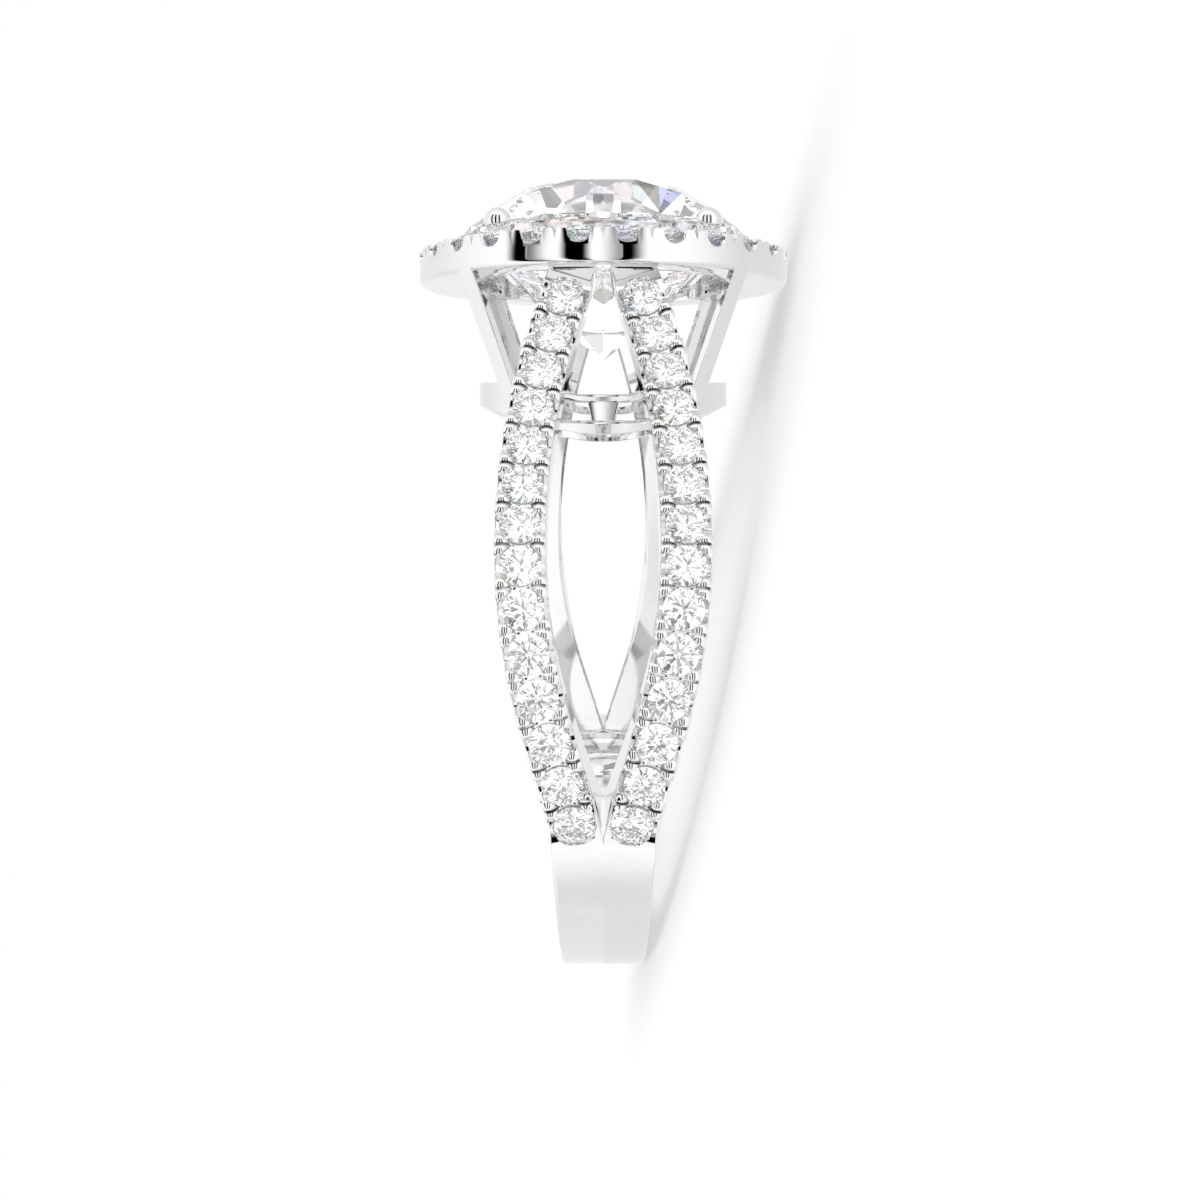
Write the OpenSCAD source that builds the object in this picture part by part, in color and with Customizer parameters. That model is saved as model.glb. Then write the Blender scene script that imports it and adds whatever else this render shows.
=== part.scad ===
// Halo engagement ring with a split, stone-set shank, lying on its side.
// The ring is drawn upright: X runs along the finger, Y from front to rear and Z up
// to the head, with the centre of the finger hole at zero. The last module lays it down.

/* [Finger hole] */
// Radius of the hole that the finger goes through
finger_r = 8.25; // [8.1:0.05:8.4]
// Play between a stone and the metal of its seat
seat_gap = 0.03; // [0.02:0.01:0.04]

/* [Shank] */
// Radius of the outer face of the shank
shank_r = 10.28; // [10.2:0.02:10.36]
// Half width of the plain base at its lowest point
base_half_low = 1.28; // [1.1:0.02:1.4]
// Half width of the plain base where it meets the split
base_half_high = 1.53; // [1.45:0.01:1.53]
// Height at which the plain base ends, below the hole's centre
base_top_z = -4.12; // [-4.4:0.02:-4.0]

/* [Split shoulders] */
// Half width of each stone-set band
band_half = 0.735; // [0.7:0.005:0.76]
// Distance of the bands' centre lines from the middle at their widest
bow_x = 2.365; // [2.3:0.005:2.45]
// Height at which the bands are furthest apart
bow_z = 4.4; // [4.2:0.05:4.6]
// Radius of the bow that each band follows
bow_r = 21.2; // [21:0.1:21.6]
// Angle at which the bow turns into the straight lower stretch
bow_end = 15.5; // [15:0.1:16]
// Lean of the bands' outer face above the round part
lean_out = 26.7; // [26:0.1:27.5]
// Lean of the bands' inner face above the finger hole
lean_in = 20; // [18:0.5:22]

/* [Halo] */
// Radius of the halo's outer wall
halo_r = 6.11; // [6.0:0.01:6.2]
// Radius of the halo's inner wall
halo_in_r = 4.62; // [4.58:0.01:4.7]
// Height of the halo's underside
halo_low_z = 12.3; // [12.2:0.02:12.4]
// Height of the halo's top face
halo_top_z = 13.4; // [13.3:0.02:13.5]
// Rounding of the halo's lower outer edge
halo_round = 0.2; // [0.1:0.05:0.3]
// Number of stones in the halo
halo_count = 26; // [26:1:26]
// Diameter of a halo stone
halo_stone_d = 1.2; // [1.1:0.01:1.2]

/* [Basket and claws] */
// Radius of the gallery's outer wall
gallery_r = 4.14; // [4.0:0.02:4.2]
// Wall thickness of the gallery
gallery_wall = 0.5; // [0.4:0.02:0.6]
// Air between the finger hole and the underside of the gallery
gallery_lift = 0.13; // [0.1:0.01:0.2]
// Width of a basket post's outer flange
flange_w = 0.64; // [0.5:0.02:0.7]
// Width of a basket post's inner web
web_w = 0.34; // [0.28:0.02:0.4]
// Radius of a claw's stem
claw_r = 0.3; // [0.26:0.01:0.32]
// Radius of the bead at a claw's tip
bead_r = 0.43; // [0.4:0.01:0.45]

/* [Centre stone] */
// Diameter of the centre stone
stone_d = 9.3; // [9.2:0.05:9.4]
// Height of the middle of its girdle
stone_z = 13.95; // [13.9:0.01:14.0]
// Turn of the stone about its own axis, half a facet puts a table's edge to the front
stone_turn = 22.5; // [0:0.5:22.5]
// Share of the diameter that the table takes
table_share = 0.57; // [0.54:0.01:0.6]
// Share of the diameter that the crown's height takes
crown_share = 0.152; // [0.14:0.002:0.16]
// Share of the diameter that the pavilion's depth takes
pavilion_share = 0.43; // [0.42:0.005:0.435]
// Share of the diameter that the girdle's thickness takes
girdle_share = 0.015; // [0.01:0.005:0.02]

/* [Band stones] */
// Diameter of a band stone
band_stone_d = 1.16; // [1.1:0.01:1.16]
// Distance between two neighbours in a row
band_pitch = 1.263; // [1.263:0.001:1.266]
// Number of stones in each row
band_count = 14; // [14:1:14]
// Number of these that sit on the round part of a band
round_count = 8; // [8:1:8]
// Depth of the girdle below the bands' outer face
girdle_sink = 0.13; // [0.11:0.01:0.15]

/* [Hidden] */
$fn = 96;
far = 30;
metal_colour = "gainsboro";
stone_colour = "lightcyan";

// Measures of the bands, seen from the front; the inset lets a straight stretch start just
// inside the round one that it follows
join_inset = 0.004;
bow_foot = [bow_x - bow_r * (1 - cos(bow_end)), bow_z - bow_r * sin(bow_end)];
straight_run = 4;
base_half_end = base_half_low - (base_half_high - base_half_low) / (base_top_z + shank_r);

// Measures of the bands, seen from the side
in_foot = finger_r * [cos(lean_in), sin(lean_in)];
arm_top_z = halo_low_z + 0.1;
arm_run = 10;
in_top_y = in_foot[0] - (arm_top_z - in_foot[1]) * tan(lean_in);

// Gap between the tops of a side's two bands
fork_low_z = 11.3;
fork_half_low = 0.44;
fork_half_top = 0.25;

// Rows of stones
row_step = 2 * asin(band_pitch / 2 / (shank_r - girdle_sink));
scallop_r = 0.38;
scallop_depth = 0.4;
saw_cut = 0.08;
saw_depth = 0.3;

// Halo stones
halo_row_r = halo_r - 0.69;
halo_girdle_z = halo_top_z - 0.1;
halo_step = 360 / halo_count;
halo_scallop_r = 0.4;
halo_scallop_depth = 0.5;
notch_w = 0.16;
notch_depth = 0.33;

// Gallery, basket posts and claws
gallery_top_z = 9.13;
gallery_top_r = 16.5;
gallery_low_r = finger_r + gallery_lift;
post_foot_z = 8.3;
post_top_z = halo_low_z + 0.1;
post_slope = 0.473;
post_foot_r = gallery_r;
flange_depth = 0.25;
web_depth = 1.0;
claw_stem_r = 4.62;
claw_bead_r = 4.68;
claw_bead_z = 13.98;
window_low_z = 7.72;
window_top_z = 8.34;
window_in_x = 0.38;
window_out_x = 1.4;

// Rest: the lean at which the halo's lower edge and the base's edge touch the surface together,
// and the shift that brings the middle of the whole part over zero; it takes the circle
// through the table's corners, so that it stays the same however the stone is turned
rest_a = halo_r - halo_round - base_half_low;
rest_b = halo_low_z + halo_round + shank_r;
rest_lean = atan2(rest_a, rest_b) + asin(halo_round / norm([rest_a, rest_b]));
rest_height = base_half_low * cos(rest_lean) + shank_r * sin(rest_lean);
table_top_z = stone_z + girdle_share * stone_d / 2 + crown_share * stone_d;
rest_head = table_share * stone_d / 2 * sin(rest_lean) + table_top_z * cos(rest_lean);
rest_foot = base_half_low * sin(rest_lean) + shank_r * cos(rest_lean);
rest_shift = (rest_head - rest_foot) / 2;

// Points of a brilliant cut: table, star tips, girdle above and below, pavilion and culet
function turn(r, a, z) = [r * cos(a), r * sin(a), z];
function mix(a, b, t) = a + (b - a) * t;

// A full cut of 57 facets about the origin, which is the middle of the girdle
module full_cut(d) {
    r = d / 2;
    half_girdle = girdle_share * d / 2;
    table_r = table_share * r;
    table_z = half_girdle + crown_share * d;
    star_r = (table_r * cos(22.5) + r) / 2;
    star_z = mix(table_z, half_girdle, (star_r * cos(22.5) - table_r) / (r - table_r));
    culet_z = -half_girdle - pavilion_share * d;
    tip_r = 0.23 * r;
    tip_z = mix(culet_z, -half_girdle, tip_r * cos(22.5) / r);
    points = concat(
        [for (i = [0:7]) turn(table_r, 45 * i, table_z)],
        [for (i = [0:7]) turn(star_r, 45 * i + 22.5, star_z)],
        [for (i = [0:15]) turn(r, 22.5 * i, half_girdle)],
        [for (i = [0:15]) turn(r, 22.5 * i, -half_girdle)],
        [for (i = [0:7]) turn(tip_r, 45 * i + 22.5, tip_z)],
        [[0, 0, culet_z]]);
    star = 8; upper = 16; lower = 32; tip = 48; culet = 56;
    faces = concat(
        [[for (i = [7:-1:0]) i]],
        [for (i = [0:7]) [i, (i + 1) % 8, star + i]],
        [for (i = [0:7]) [i, star + i, upper + 2 * i]],
        [for (i = [0:7]) [i, upper + 2 * i, star + (i + 7) % 8]],
        [for (i = [0:7]) [star + i, upper + 2 * i + 1, upper + 2 * i]],
        [for (i = [0:7]) [star + i, upper + (2 * i + 2) % 16, upper + 2 * i + 1]],
        [for (i = [0:15]) [upper + i, upper + (i + 1) % 16, lower + (i + 1) % 16, lower + i]],
        [for (i = [0:7]) [tip + i, lower + 2 * i, lower + 2 * i + 1]],
        [for (i = [0:7]) [tip + i, lower + 2 * i + 1, lower + (2 * i + 2) % 16]],
        [for (i = [0:7]) [culet, lower + 2 * i, tip + i]],
        [for (i = [0:7]) [culet, tip + i, lower + (2 * i + 2) % 16]]);
    polyhedron(points, faces);
}

// A small cut with a table, 24 crown facets and 16 below a sharp girdle
module small_cut(d) {
    r = d / 2;
    table_r = table_share * r;
    points = concat(
        [for (i = [0:7]) turn(table_r, 45 * i, crown_share * d)],
        [for (i = [0:15]) turn(r, 22.5 * i, 0)],
        [[0, 0, -pavilion_share * d]]);
    edge = 8; culet = 24;
    faces = concat(
        [[for (i = [7:-1:0]) i]],
        [for (i = [0:7]) [i, edge + 2 * i + 1, edge + 2 * i]],
        [for (i = [0:7]) [i, edge + 2 * i, edge + (2 * i + 15) % 16]],
        [for (i = [0:7]) [i, (i + 1) % 8, edge + 2 * i + 1]],
        [for (i = [0:15]) [culet, edge + i, edge + (i + 1) % 16]]);
    polyhedron(points, faces);
}

// Room for a small stone: a round well with a cone below it
module seat(d) {
    r = d / 2 + seat_gap;
    depth = pavilion_share * d + 2 * seat_gap;
    rotate_extrude()
        polygon([[0, -depth], [0.1, -depth], [r, -0.04], [r, 0.8], [0, 0.8]]);
}

// Children at the place of band stone i, in steps that may fall between two stones
module at_row(i) {
    first = lean_out - (round_count - 1) * row_step;
    angle = min(lean_out, first + i * row_step);
    run = max(0, i - round_count + 1) * band_pitch;
    rotate([-angle, 0, 0])
        translate([0, -(shank_r - girdle_sink), run])
            rotate([90, 0, 0])
                children();
}

// Height of the place of band stone i, and its distance from the middle
function row_z(i) =
    let (first = lean_out - (round_count - 1) * row_step,
         angle = min(lean_out, first + i * row_step),
         run = max(0, i - round_count + 1) * band_pitch)
    (shank_r - girdle_sink) * sin(angle) + run * cos(lean_out);
function row_x(z) =
    z > bow_foot[1] ? bow_x - bow_r + sqrt(pow(bow_r, 2) - pow(z - bow_z, 2))
    : bow_foot[0] - (bow_foot[1] - z) * tan(bow_end);

// Children at every stone of one row; side is 1 to the right and -1 to the left
module row_places(side) {
    for (i = [0:band_count - 1])
        translate([side * row_x(row_z(i)), 0, 0])
            at_row(i)
                children();
}

// Children at the front, and turned half round for the rear
module front_and_rear() {
    children();
    rotate([0, 0, 180]) children();
}

// A flat outline of X and Z, thickened along Y
module front_cut() {
    rotate([90, 0, 0]) translate([0, 0, -far / 2]) linear_extrude(far) children();
}

// A flat outline of Y and Z, thickened along X
module side_cut() {
    rotate([90, 0, 90]) translate([0, 0, -far / 2]) linear_extrude(far) children();
}

// A round bar along X through the centre of the finger hole
module bar(r) {
    rotate([0, 90, 0]) cylinder(r = r, h = far, center = true, $fn = 360);
}

// Everything on the inner side of a line that keeps a distance from a band's centre line:
// round about the bow's centre, then straight from the bow's foot for the length run
module reach(distance, run) {
    r = bow_r + distance;
    translate([bow_x - bow_r, 0, bow_z]) rotate([90, 0, 0]) {
        cylinder(r = r, h = far, center = true, $fn = 360);
        rotate([0, 0, -bow_end]) translate([0, -run, -far / 2]) cube([r - join_inset, run, far]);
    }
}

// Everything that one band covers from the front, to the right of the middle
module band_front() {
    difference() {
        reach(band_half, straight_run);
        reach(-band_half, straight_run + 1);
        translate([-far, -far, arm_top_z]) cube(2 * far);
        translate([-2 * far - 1, -far, -far]) cube(2 * far);
    }
}

// Everything that the plain base covers from the front
module base_front() {
    front_cut()
        polygon([[-base_half_high, base_top_z], [-base_half_end, -shank_r - 1],
                 [base_half_end, -shank_r - 1], [base_half_high, base_top_z]]);
}

// One straight arm at the rear, leaning inwards and touching the round part
module arm() {
    rotate([lean_out, 0, 0])
        translate([-far / 2, finger_r - 1, 0])
            cube([far, shank_r - join_inset - finger_r + 1, arm_run]);
}

// Everything that the bands cover from the side: a disc with a straight arm at either end
module bands_side() {
    bar(shank_r);
    arm();
    mirror([0, 1, 0]) arm();
}

// Shank with its base and four bands, before the stones' seats
module shank() {
    difference() {
        union() {
            intersection() {
                bands_side();
                union() {
                    band_front();
                    mirror([1, 0, 0]) band_front();
                }
            }
            intersection() {
                bar(shank_r);
                base_front();
            }
        }
        side_cut()
            polygon([[-in_foot[0], in_foot[1]], [in_foot[0], in_foot[1]], [in_top_y, arm_top_z],
                     [in_top_y, far / 2], [-in_top_y, far / 2], [-in_top_y, arm_top_z]]);
        front_cut()
            polygon([[-fork_half_low, fork_low_z], [fork_half_low, fork_low_z],
                     [fork_half_top, arm_top_z + 0.1], [-fork_half_top, arm_top_z + 0.1]]);
        bar(finger_r);
    }
}

// Scallop between the posts at a stone and the saw cut between two stones
module band_cuts() {
    front_and_rear() {
        for (i = [0:band_count - 1])
            at_row(i)
                translate([0, 0, girdle_sink - scallop_depth + scallop_r]) rotate([0, 90, 0])
                    cylinder(r = scallop_r, h = far / 3, center = true);
        for (i = [0:band_count - 2])
            at_row(i + 0.5)
                translate([0, 0, girdle_sink]) cube([far / 3, saw_cut, 2 * saw_depth], center = true);
    }
}

// Wells for the stones of all four rows
module band_seats() {
    front_and_rear()
        for (side = [-1, 1])
            row_places(side) seat(band_stone_d);
}

// Plain ring of the halo with its rounded lower edge
module halo_ring() {
    rotate_extrude() {
        translate([halo_in_r, halo_low_z])
            square([halo_r - halo_round - halo_in_r, halo_top_z - halo_low_z]);
        translate([halo_in_r, halo_low_z + halo_round])
            square([halo_r - halo_in_r, halo_top_z - halo_low_z - halo_round]);
        translate([halo_r - halo_round, halo_low_z + halo_round]) circle(halo_round);
    }
}

// Wells, scallops and split beads of the halo
module halo_cuts() {
    for (i = [0:halo_count - 1]) {
        rotate([0, 0, (i + 0.5) * halo_step - 90]) {
            translate([halo_row_r, 0, halo_girdle_z]) seat(halo_stone_d);
            translate([halo_row_r, 0, halo_top_z - halo_scallop_depth + halo_scallop_r])
                rotate([0, 90, 0]) cylinder(r = halo_scallop_r, h = 1);
        }
        rotate([0, 0, i * halo_step - 90])
            translate([halo_r - 0.45, 0, halo_top_z]) rotate([90, 0, 90])
                linear_extrude(1)
                    polygon([[0, -notch_depth], [notch_w / 2, 0.1], [-notch_w / 2, 0.1]]);
    }
}

// Curved gallery under the stone, pierced at the front and the rear
module gallery() {
    difference() {
        intersection() {
            translate([0, 0, finger_r - 2]) difference() {
                cylinder(r = gallery_r, h = 4);
                translate([0, 0, -1]) cylinder(r = gallery_r - gallery_wall, h = 6);
            }
            translate([0, 0, gallery_top_z - gallery_top_r]) bar(gallery_top_r);
        }
        bar(gallery_low_r);
        for (side = [0, 1])
            mirror([side, 0, 0]) front_cut()
                polygon([[window_in_x, window_low_z], [window_out_x + 0.3, window_low_z],
                         [window_out_x, window_top_z], [window_in_x, window_top_z]]);
    }
}

// One leaning post of the basket: a flange outside and a web inside
module post() {
    rise = post_top_z - post_foot_z;
    run = rise * post_slope;
    rotate([90, 0, 0]) {
        linear_extrude(flange_w, center = true)
            polygon([[post_foot_r, post_foot_z], [post_foot_r + run, post_top_z],
                     [post_foot_r + run - flange_depth, post_top_z],
                     [post_foot_r - flange_depth, post_foot_z]]);
        linear_extrude(web_w, center = true)
            polygon([[post_foot_r - 0.1, post_foot_z], [post_foot_r + run - 0.1, post_top_z],
                     [post_foot_r + run - web_depth, post_top_z],
                     [post_foot_r - web_depth, post_foot_z]]);
    }
}

// One claw: a stem through the halo's inner edge and a round bead over the girdle
module claw() {
    translate([claw_stem_r, 0, halo_low_z + 0.05])
        cylinder(r = claw_r, h = claw_bead_z - halo_low_z - 0.05);
    translate([claw_bead_r, 0, claw_bead_z]) sphere(bead_r);
}

// Basket posts and claws at the four corners
module corners() {
    for (angle = [45:90:315])
        rotate([0, 0, angle]) {
            post();
            claw();
        }
}

// Room for the centre stone, a little larger than the stone all round
module centre_room() {
    r = stone_d / 2 + seat_gap;
    half_girdle = girdle_share * stone_d / 2 + seat_gap;
    translate([0, 0, stone_z]) rotate_extrude()
        polygon([[0, -half_girdle - pavilion_share * stone_d], [r, -half_girdle], [r, half_girdle],
                 [table_share * r, half_girdle + crown_share * stone_d],
                 [0, half_girdle + crown_share * stone_d]]);
}

// All the metal, which is soldered into one piece
module ring_body() {
    laid() color(metal_colour) difference() {
        union() {
            difference() {
                shank();
                band_cuts();
            }
            halo_ring();
            gallery();
            corners();
        }
        band_seats();
        halo_cuts();
        centre_room();
        bar(finger_r);
    }
}

module centre_stone() {
    laid() color(stone_colour)
        translate([0, 0, stone_z]) rotate([0, 0, stone_turn]) full_cut(stone_d);
}

module halo_stones() {
    laid() color(stone_colour)
        for (i = [0:halo_count - 1])
            rotate([0, 0, (i + 0.5) * halo_step - 90])
                translate([halo_row_r, 0, halo_girdle_z]) small_cut(halo_stone_d);
}

module front_left_stones() {
    laid() color(stone_colour) row_places(-1) small_cut(band_stone_d);
}

module front_right_stones() {
    laid() color(stone_colour) row_places(1) small_cut(band_stone_d);
}

module rear_left_stones() {
    laid() color(stone_colour) rotate([0, 0, 180]) row_places(1) small_cut(band_stone_d);
}

module rear_right_stones() {
    laid() color(stone_colour) rotate([0, 0, 180]) row_places(-1) small_cut(band_stone_d);
}

// Children turned from upright to lying on the right side
module laid() {
    translate([-rest_shift, 0, rest_height]) rotate([0, 90 - rest_lean, 0]) children();
}

ring_body();
centre_stone();
halo_stones();
front_left_stones();
front_right_stones();
rear_left_stones();
rear_right_stones();
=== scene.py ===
"""Halo engagement ring with a split, stone-set shank, lying on its right side on a pale floor.

Every shape is worked out upright and in millimetres: X runs along the finger, Y from front to
rear and Z up to the head, with the centre of the finger hole at zero. RestingPlace then lays the
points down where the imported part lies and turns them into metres.
"""
import logging
from dataclasses import dataclass, field
from enum import Enum
from math import asin, atan2, cos, hypot, pi, radians, sin, sqrt, tan

import bmesh
import bpy
import numpy as np
from mathutils import Matrix, Vector


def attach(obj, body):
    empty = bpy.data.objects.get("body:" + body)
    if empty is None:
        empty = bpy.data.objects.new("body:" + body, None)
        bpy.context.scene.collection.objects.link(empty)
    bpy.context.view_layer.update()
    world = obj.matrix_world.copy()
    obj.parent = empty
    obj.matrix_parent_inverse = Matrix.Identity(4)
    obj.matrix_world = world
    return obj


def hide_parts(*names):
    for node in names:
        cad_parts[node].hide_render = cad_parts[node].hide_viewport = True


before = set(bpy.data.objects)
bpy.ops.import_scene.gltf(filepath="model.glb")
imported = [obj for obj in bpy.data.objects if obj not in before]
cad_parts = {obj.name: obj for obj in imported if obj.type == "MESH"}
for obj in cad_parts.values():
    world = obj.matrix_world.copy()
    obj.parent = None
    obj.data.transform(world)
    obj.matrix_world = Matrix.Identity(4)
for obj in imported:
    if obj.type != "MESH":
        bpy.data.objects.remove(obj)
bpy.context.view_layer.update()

log = logging.getLogger("halo_ring")
Array = np.ndarray
MM = 0.001
MERGE = 2e-7
NO_LENGTH = 1e-8
BEVELLED_FROM = radians(40)


# Resting place and mesh helpers


@dataclass(frozen=True)
class RestingPlace:
    """How the upright ring lies: on the halo's lower edge and the base's edge."""

    halo_r: float = 6.11
    halo_round: float = 0.2
    halo_low_z: float = 12.3
    base_half_low: float = 1.28
    shank_r: float = 10.28
    table_r: float = 2.6505
    table_z: float = 15.43335
    stone_turn: float = pi / 8

    @property
    def lean(self) -> float:
        """Angle of the finger axis to the plumb line, in radians."""
        across = self.halo_r - self.halo_round - self.base_half_low
        along = self.halo_low_z + self.halo_round + self.shank_r
        return atan2(across, along) + asin(self.halo_round / hypot(across, along))

    def place(self, points: Array) -> Array:
        """Turns upright points in millimetres into lying points in metres.

        x = X sin(lean) + Z cos(lean) - shift, y = Y, z = Z sin(lean) - X cos(lean) + height. The
        shift is half the way from the foot to the circle through the table's corners.

        Args:
            points: array of points, the last axis is X, Y, Z in millimetres.
        Returns:
            The same points in the part's own frame, in metres.
        """
        s, c = sin(self.lean), cos(self.lean)
        height = self.base_half_low * c + self.shank_r * s
        head = self.table_r * s + self.table_z * c
        shift = (head - self.base_half_low * s - self.shank_r * c) / 2
        x, y, z = points[..., 0], points[..., 1], points[..., 2]
        return np.stack([x * s + z * c - shift, y, z * s - x * c + height], -1) * MM

    def matrix(self) -> Matrix:
        """The turn of place() alone, as a Blender matrix."""
        s, c = sin(self.lean), cos(self.lean)
        return Matrix(((s, 0, c), (0, 1, 0), (-c, 0, s))).to_4x4()


REST = RestingPlace()


def smooth_step(low: float, high: float, value: Array) -> Array:
    """0 below low, 1 above high and the cubic 3t^2 - 2t^3 between them."""
    t = np.clip((value - low) / (high - low), 0, 1)
    return t * t * (3 - 2 * t)


def seat(rho: Array, radius: float, wall: float, slope: float, soft: float) -> Array:
    """Depth of a stone's seat: a round wall with a cone below it.

    Args:
        rho: distance from the seat's middle.
        radius: the wall's radius.
        wall: the wall's height.
        slope: how much deeper the cone gets towards the middle.
        soft: width of the wall's upper edge.
    Returns:
        The depths, 0 outside the seat.
    """
    return (wall + np.clip(radius - rho, 0, None) * slope) * (
        1 - smooth_step(radius, radius + soft, rho))


def turned(points: Array, angle: float) -> Array:
    """Points turned about the Z axis by an angle in radians."""
    c, s = cos(angle), sin(angle)
    x, y = points[..., 0], points[..., 1]
    return np.stack([x * c - y * s, x * s + y * c, points[..., 2]], -1)


def mirrored(points: Array, flip_x: bool, flip_y: bool) -> Array:
    """Points mirrored to the other side (flip_x) and to the rear (flip_y)."""
    return points * np.array([-1 if flip_x else 1, -1 if flip_y else 1, 1])


def around(r: Array, angle: Array, z: Array) -> Array:
    """Points about the head's axis: (r sin a, -r cos a, z), the angle a from the front."""
    return np.stack(np.broadcast_arrays(r * np.sin(angle), -r * np.cos(angle), z), -1)


def column(values: Array) -> Array:
    """A row of values as a column."""
    return np.asarray(values)[:, None]


@dataclass
class Shell:
    """A closed surface: its points and its faces, which may have any number of corners."""

    points: Array
    faces: list[list[int]]
    tint: Array | None = None

    def outward(self) -> "Shell":
        """Turns all faces round if the volume that they enclose is negative."""
        volume = 0.0
        for size in {len(f) for f in self.faces}:
            corner = self.points[np.array([f for f in self.faces if len(f) == size])]
            for k in range(1, size - 1):
                volume += np.einsum("ij,ij->i", corner[:, 0],
                                    np.cross(corner[:, k], corner[:, k + 1])).sum()
        if volume < 0:
            self.faces = [f[::-1] for f in self.faces]
        return self


def skin(rows: Array, closed: bool = False) -> Shell:
    """Joins closed loops into one closed surface.

    Point (i, j) is joined to (i, j + 1), (i + 1, j + 1) and (i + 1, j); the loops close in j, and
    either the last row joins the first or a flat cap closes each end.

    Args:
        rows: array (rows, corners, 3) of loops in the order of the path.
        closed: True where the path itself is a loop.
    Returns:
        The closed shell.
    """
    n, m = rows.shape[:2]
    i, j = np.meshgrid(np.arange(n if closed else n - 1), np.arange(m), indexing="ij")
    i2, j2 = (i + 1) % n, (j + 1) % m
    quads = np.stack([i * m + j, i * m + j2, i2 * m + j2, i2 * m + j], -1).reshape(-1, 4)
    faces = quads.tolist()
    if not closed:
        faces.append(list(range(m - 1, -1, -1)))
        faces.append(list(range((n - 1) * m, n * m)))
    return Shell(rows.reshape(-1, 3), faces).outward()


def joined(shells: list[Shell]) -> Shell:
    """Makes several closed shells the loose parts of one shell.

    Args:
        shells: the shells; either all carry a tint for each face or none does.
    Returns:
        One shell with the points and faces in the same order.
    """
    counts = np.cumsum([0] + [len(s.points) for s in shells])
    faces = [[k + int(start) for k in f] for s, start in zip(shells, counts) for f in s.faces]
    tints = [s.tint for s in shells if s.tint is not None]
    return Shell(np.concatenate([s.points for s in shells]), faces,
                 np.concatenate(tints) if tints else None)


def front_and_rear(shells: list[Shell]) -> Shell:
    """Shells at the front and their mirror images at the rear, as one shell."""
    return joined(shells + [Shell(mirrored(s.points, False, True), s.faces).outward()
                            for s in shells])


def at_corners(shell: Shell) -> Shell:
    """Four copies of a shell, half-way between the head's front, sides and rear."""
    return joined([Shell(turned(shell.points, radians(a)), shell.faces)
                   for a in (45, 135, 225, 315)])


@dataclass(frozen=True)
class Dressing:
    """What a finished piece carries besides its shape."""

    material: bpy.types.Material
    slot: str
    stands_for: tuple[str, ...]
    sharp_angle: float | None = 35.0
    bevel: float = 0.0


def make_piece(name: str, shell: Shell, dressing: Dressing) -> bpy.types.Object:
    """Makes one piece of a shell, merges its doubled points and hands it to the frame.

    Args:
        name: the piece's name.
        shell: its surface, upright and in millimetres.
        dressing: its material, its slot, which this script does not use, and the CAD nodes that it
            stands for.
    Returns:
        The object, which lies in place with its origin at zero.
    """
    mesh = bpy.data.meshes.new(name)
    mesh.from_pydata(REST.place(shell.points).tolist(), [], shell.faces)
    if shell.tint is not None:
        # The cut stones' painted fire and painted greys, one colour for each facet.
        layer = mesh.attributes.new("painted_fire", "FLOAT_COLOR", "FACE")
        layer.data.foreach_set("color", np.c_[shell.tint, np.ones(len(shell.tint))].ravel())
    else:
        work = bmesh.new()
        work.from_mesh(mesh)
        bmesh.ops.remove_doubles(work, verts=work.verts, dist=MERGE)
        bmesh.ops.dissolve_degenerate(work, edges=work.edges, dist=NO_LENGTH)
        work.to_mesh(mesh)
        work.free()
    smooth = dressing.sharp_angle is not None
    mesh.polygons.foreach_set("use_smooth", np.full(len(mesh.polygons), smooth))
    if smooth:
        mesh.set_sharp_from_angle(angle=radians(dressing.sharp_angle))
    mesh.validate()
    mesh.materials.append(dressing.material)
    piece = bpy.data.objects.new(name, mesh)
    bpy.context.scene.collection.objects.link(piece)
    if dressing.bevel:
        rounding = piece.modifiers.new("Soft edges", "BEVEL")
        rounding.width = dressing.bevel * MM
        rounding.segments = 2
        rounding.limit_method = "ANGLE"
        rounding.angle_limit = BEVELLED_FROM
    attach(piece, "root")
    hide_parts(*dressing.stands_for)
    log.info("%s: %d points, %d faces", name, len(mesh.vertices), len(mesh.polygons))
    return piece


# Shader wiring


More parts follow.
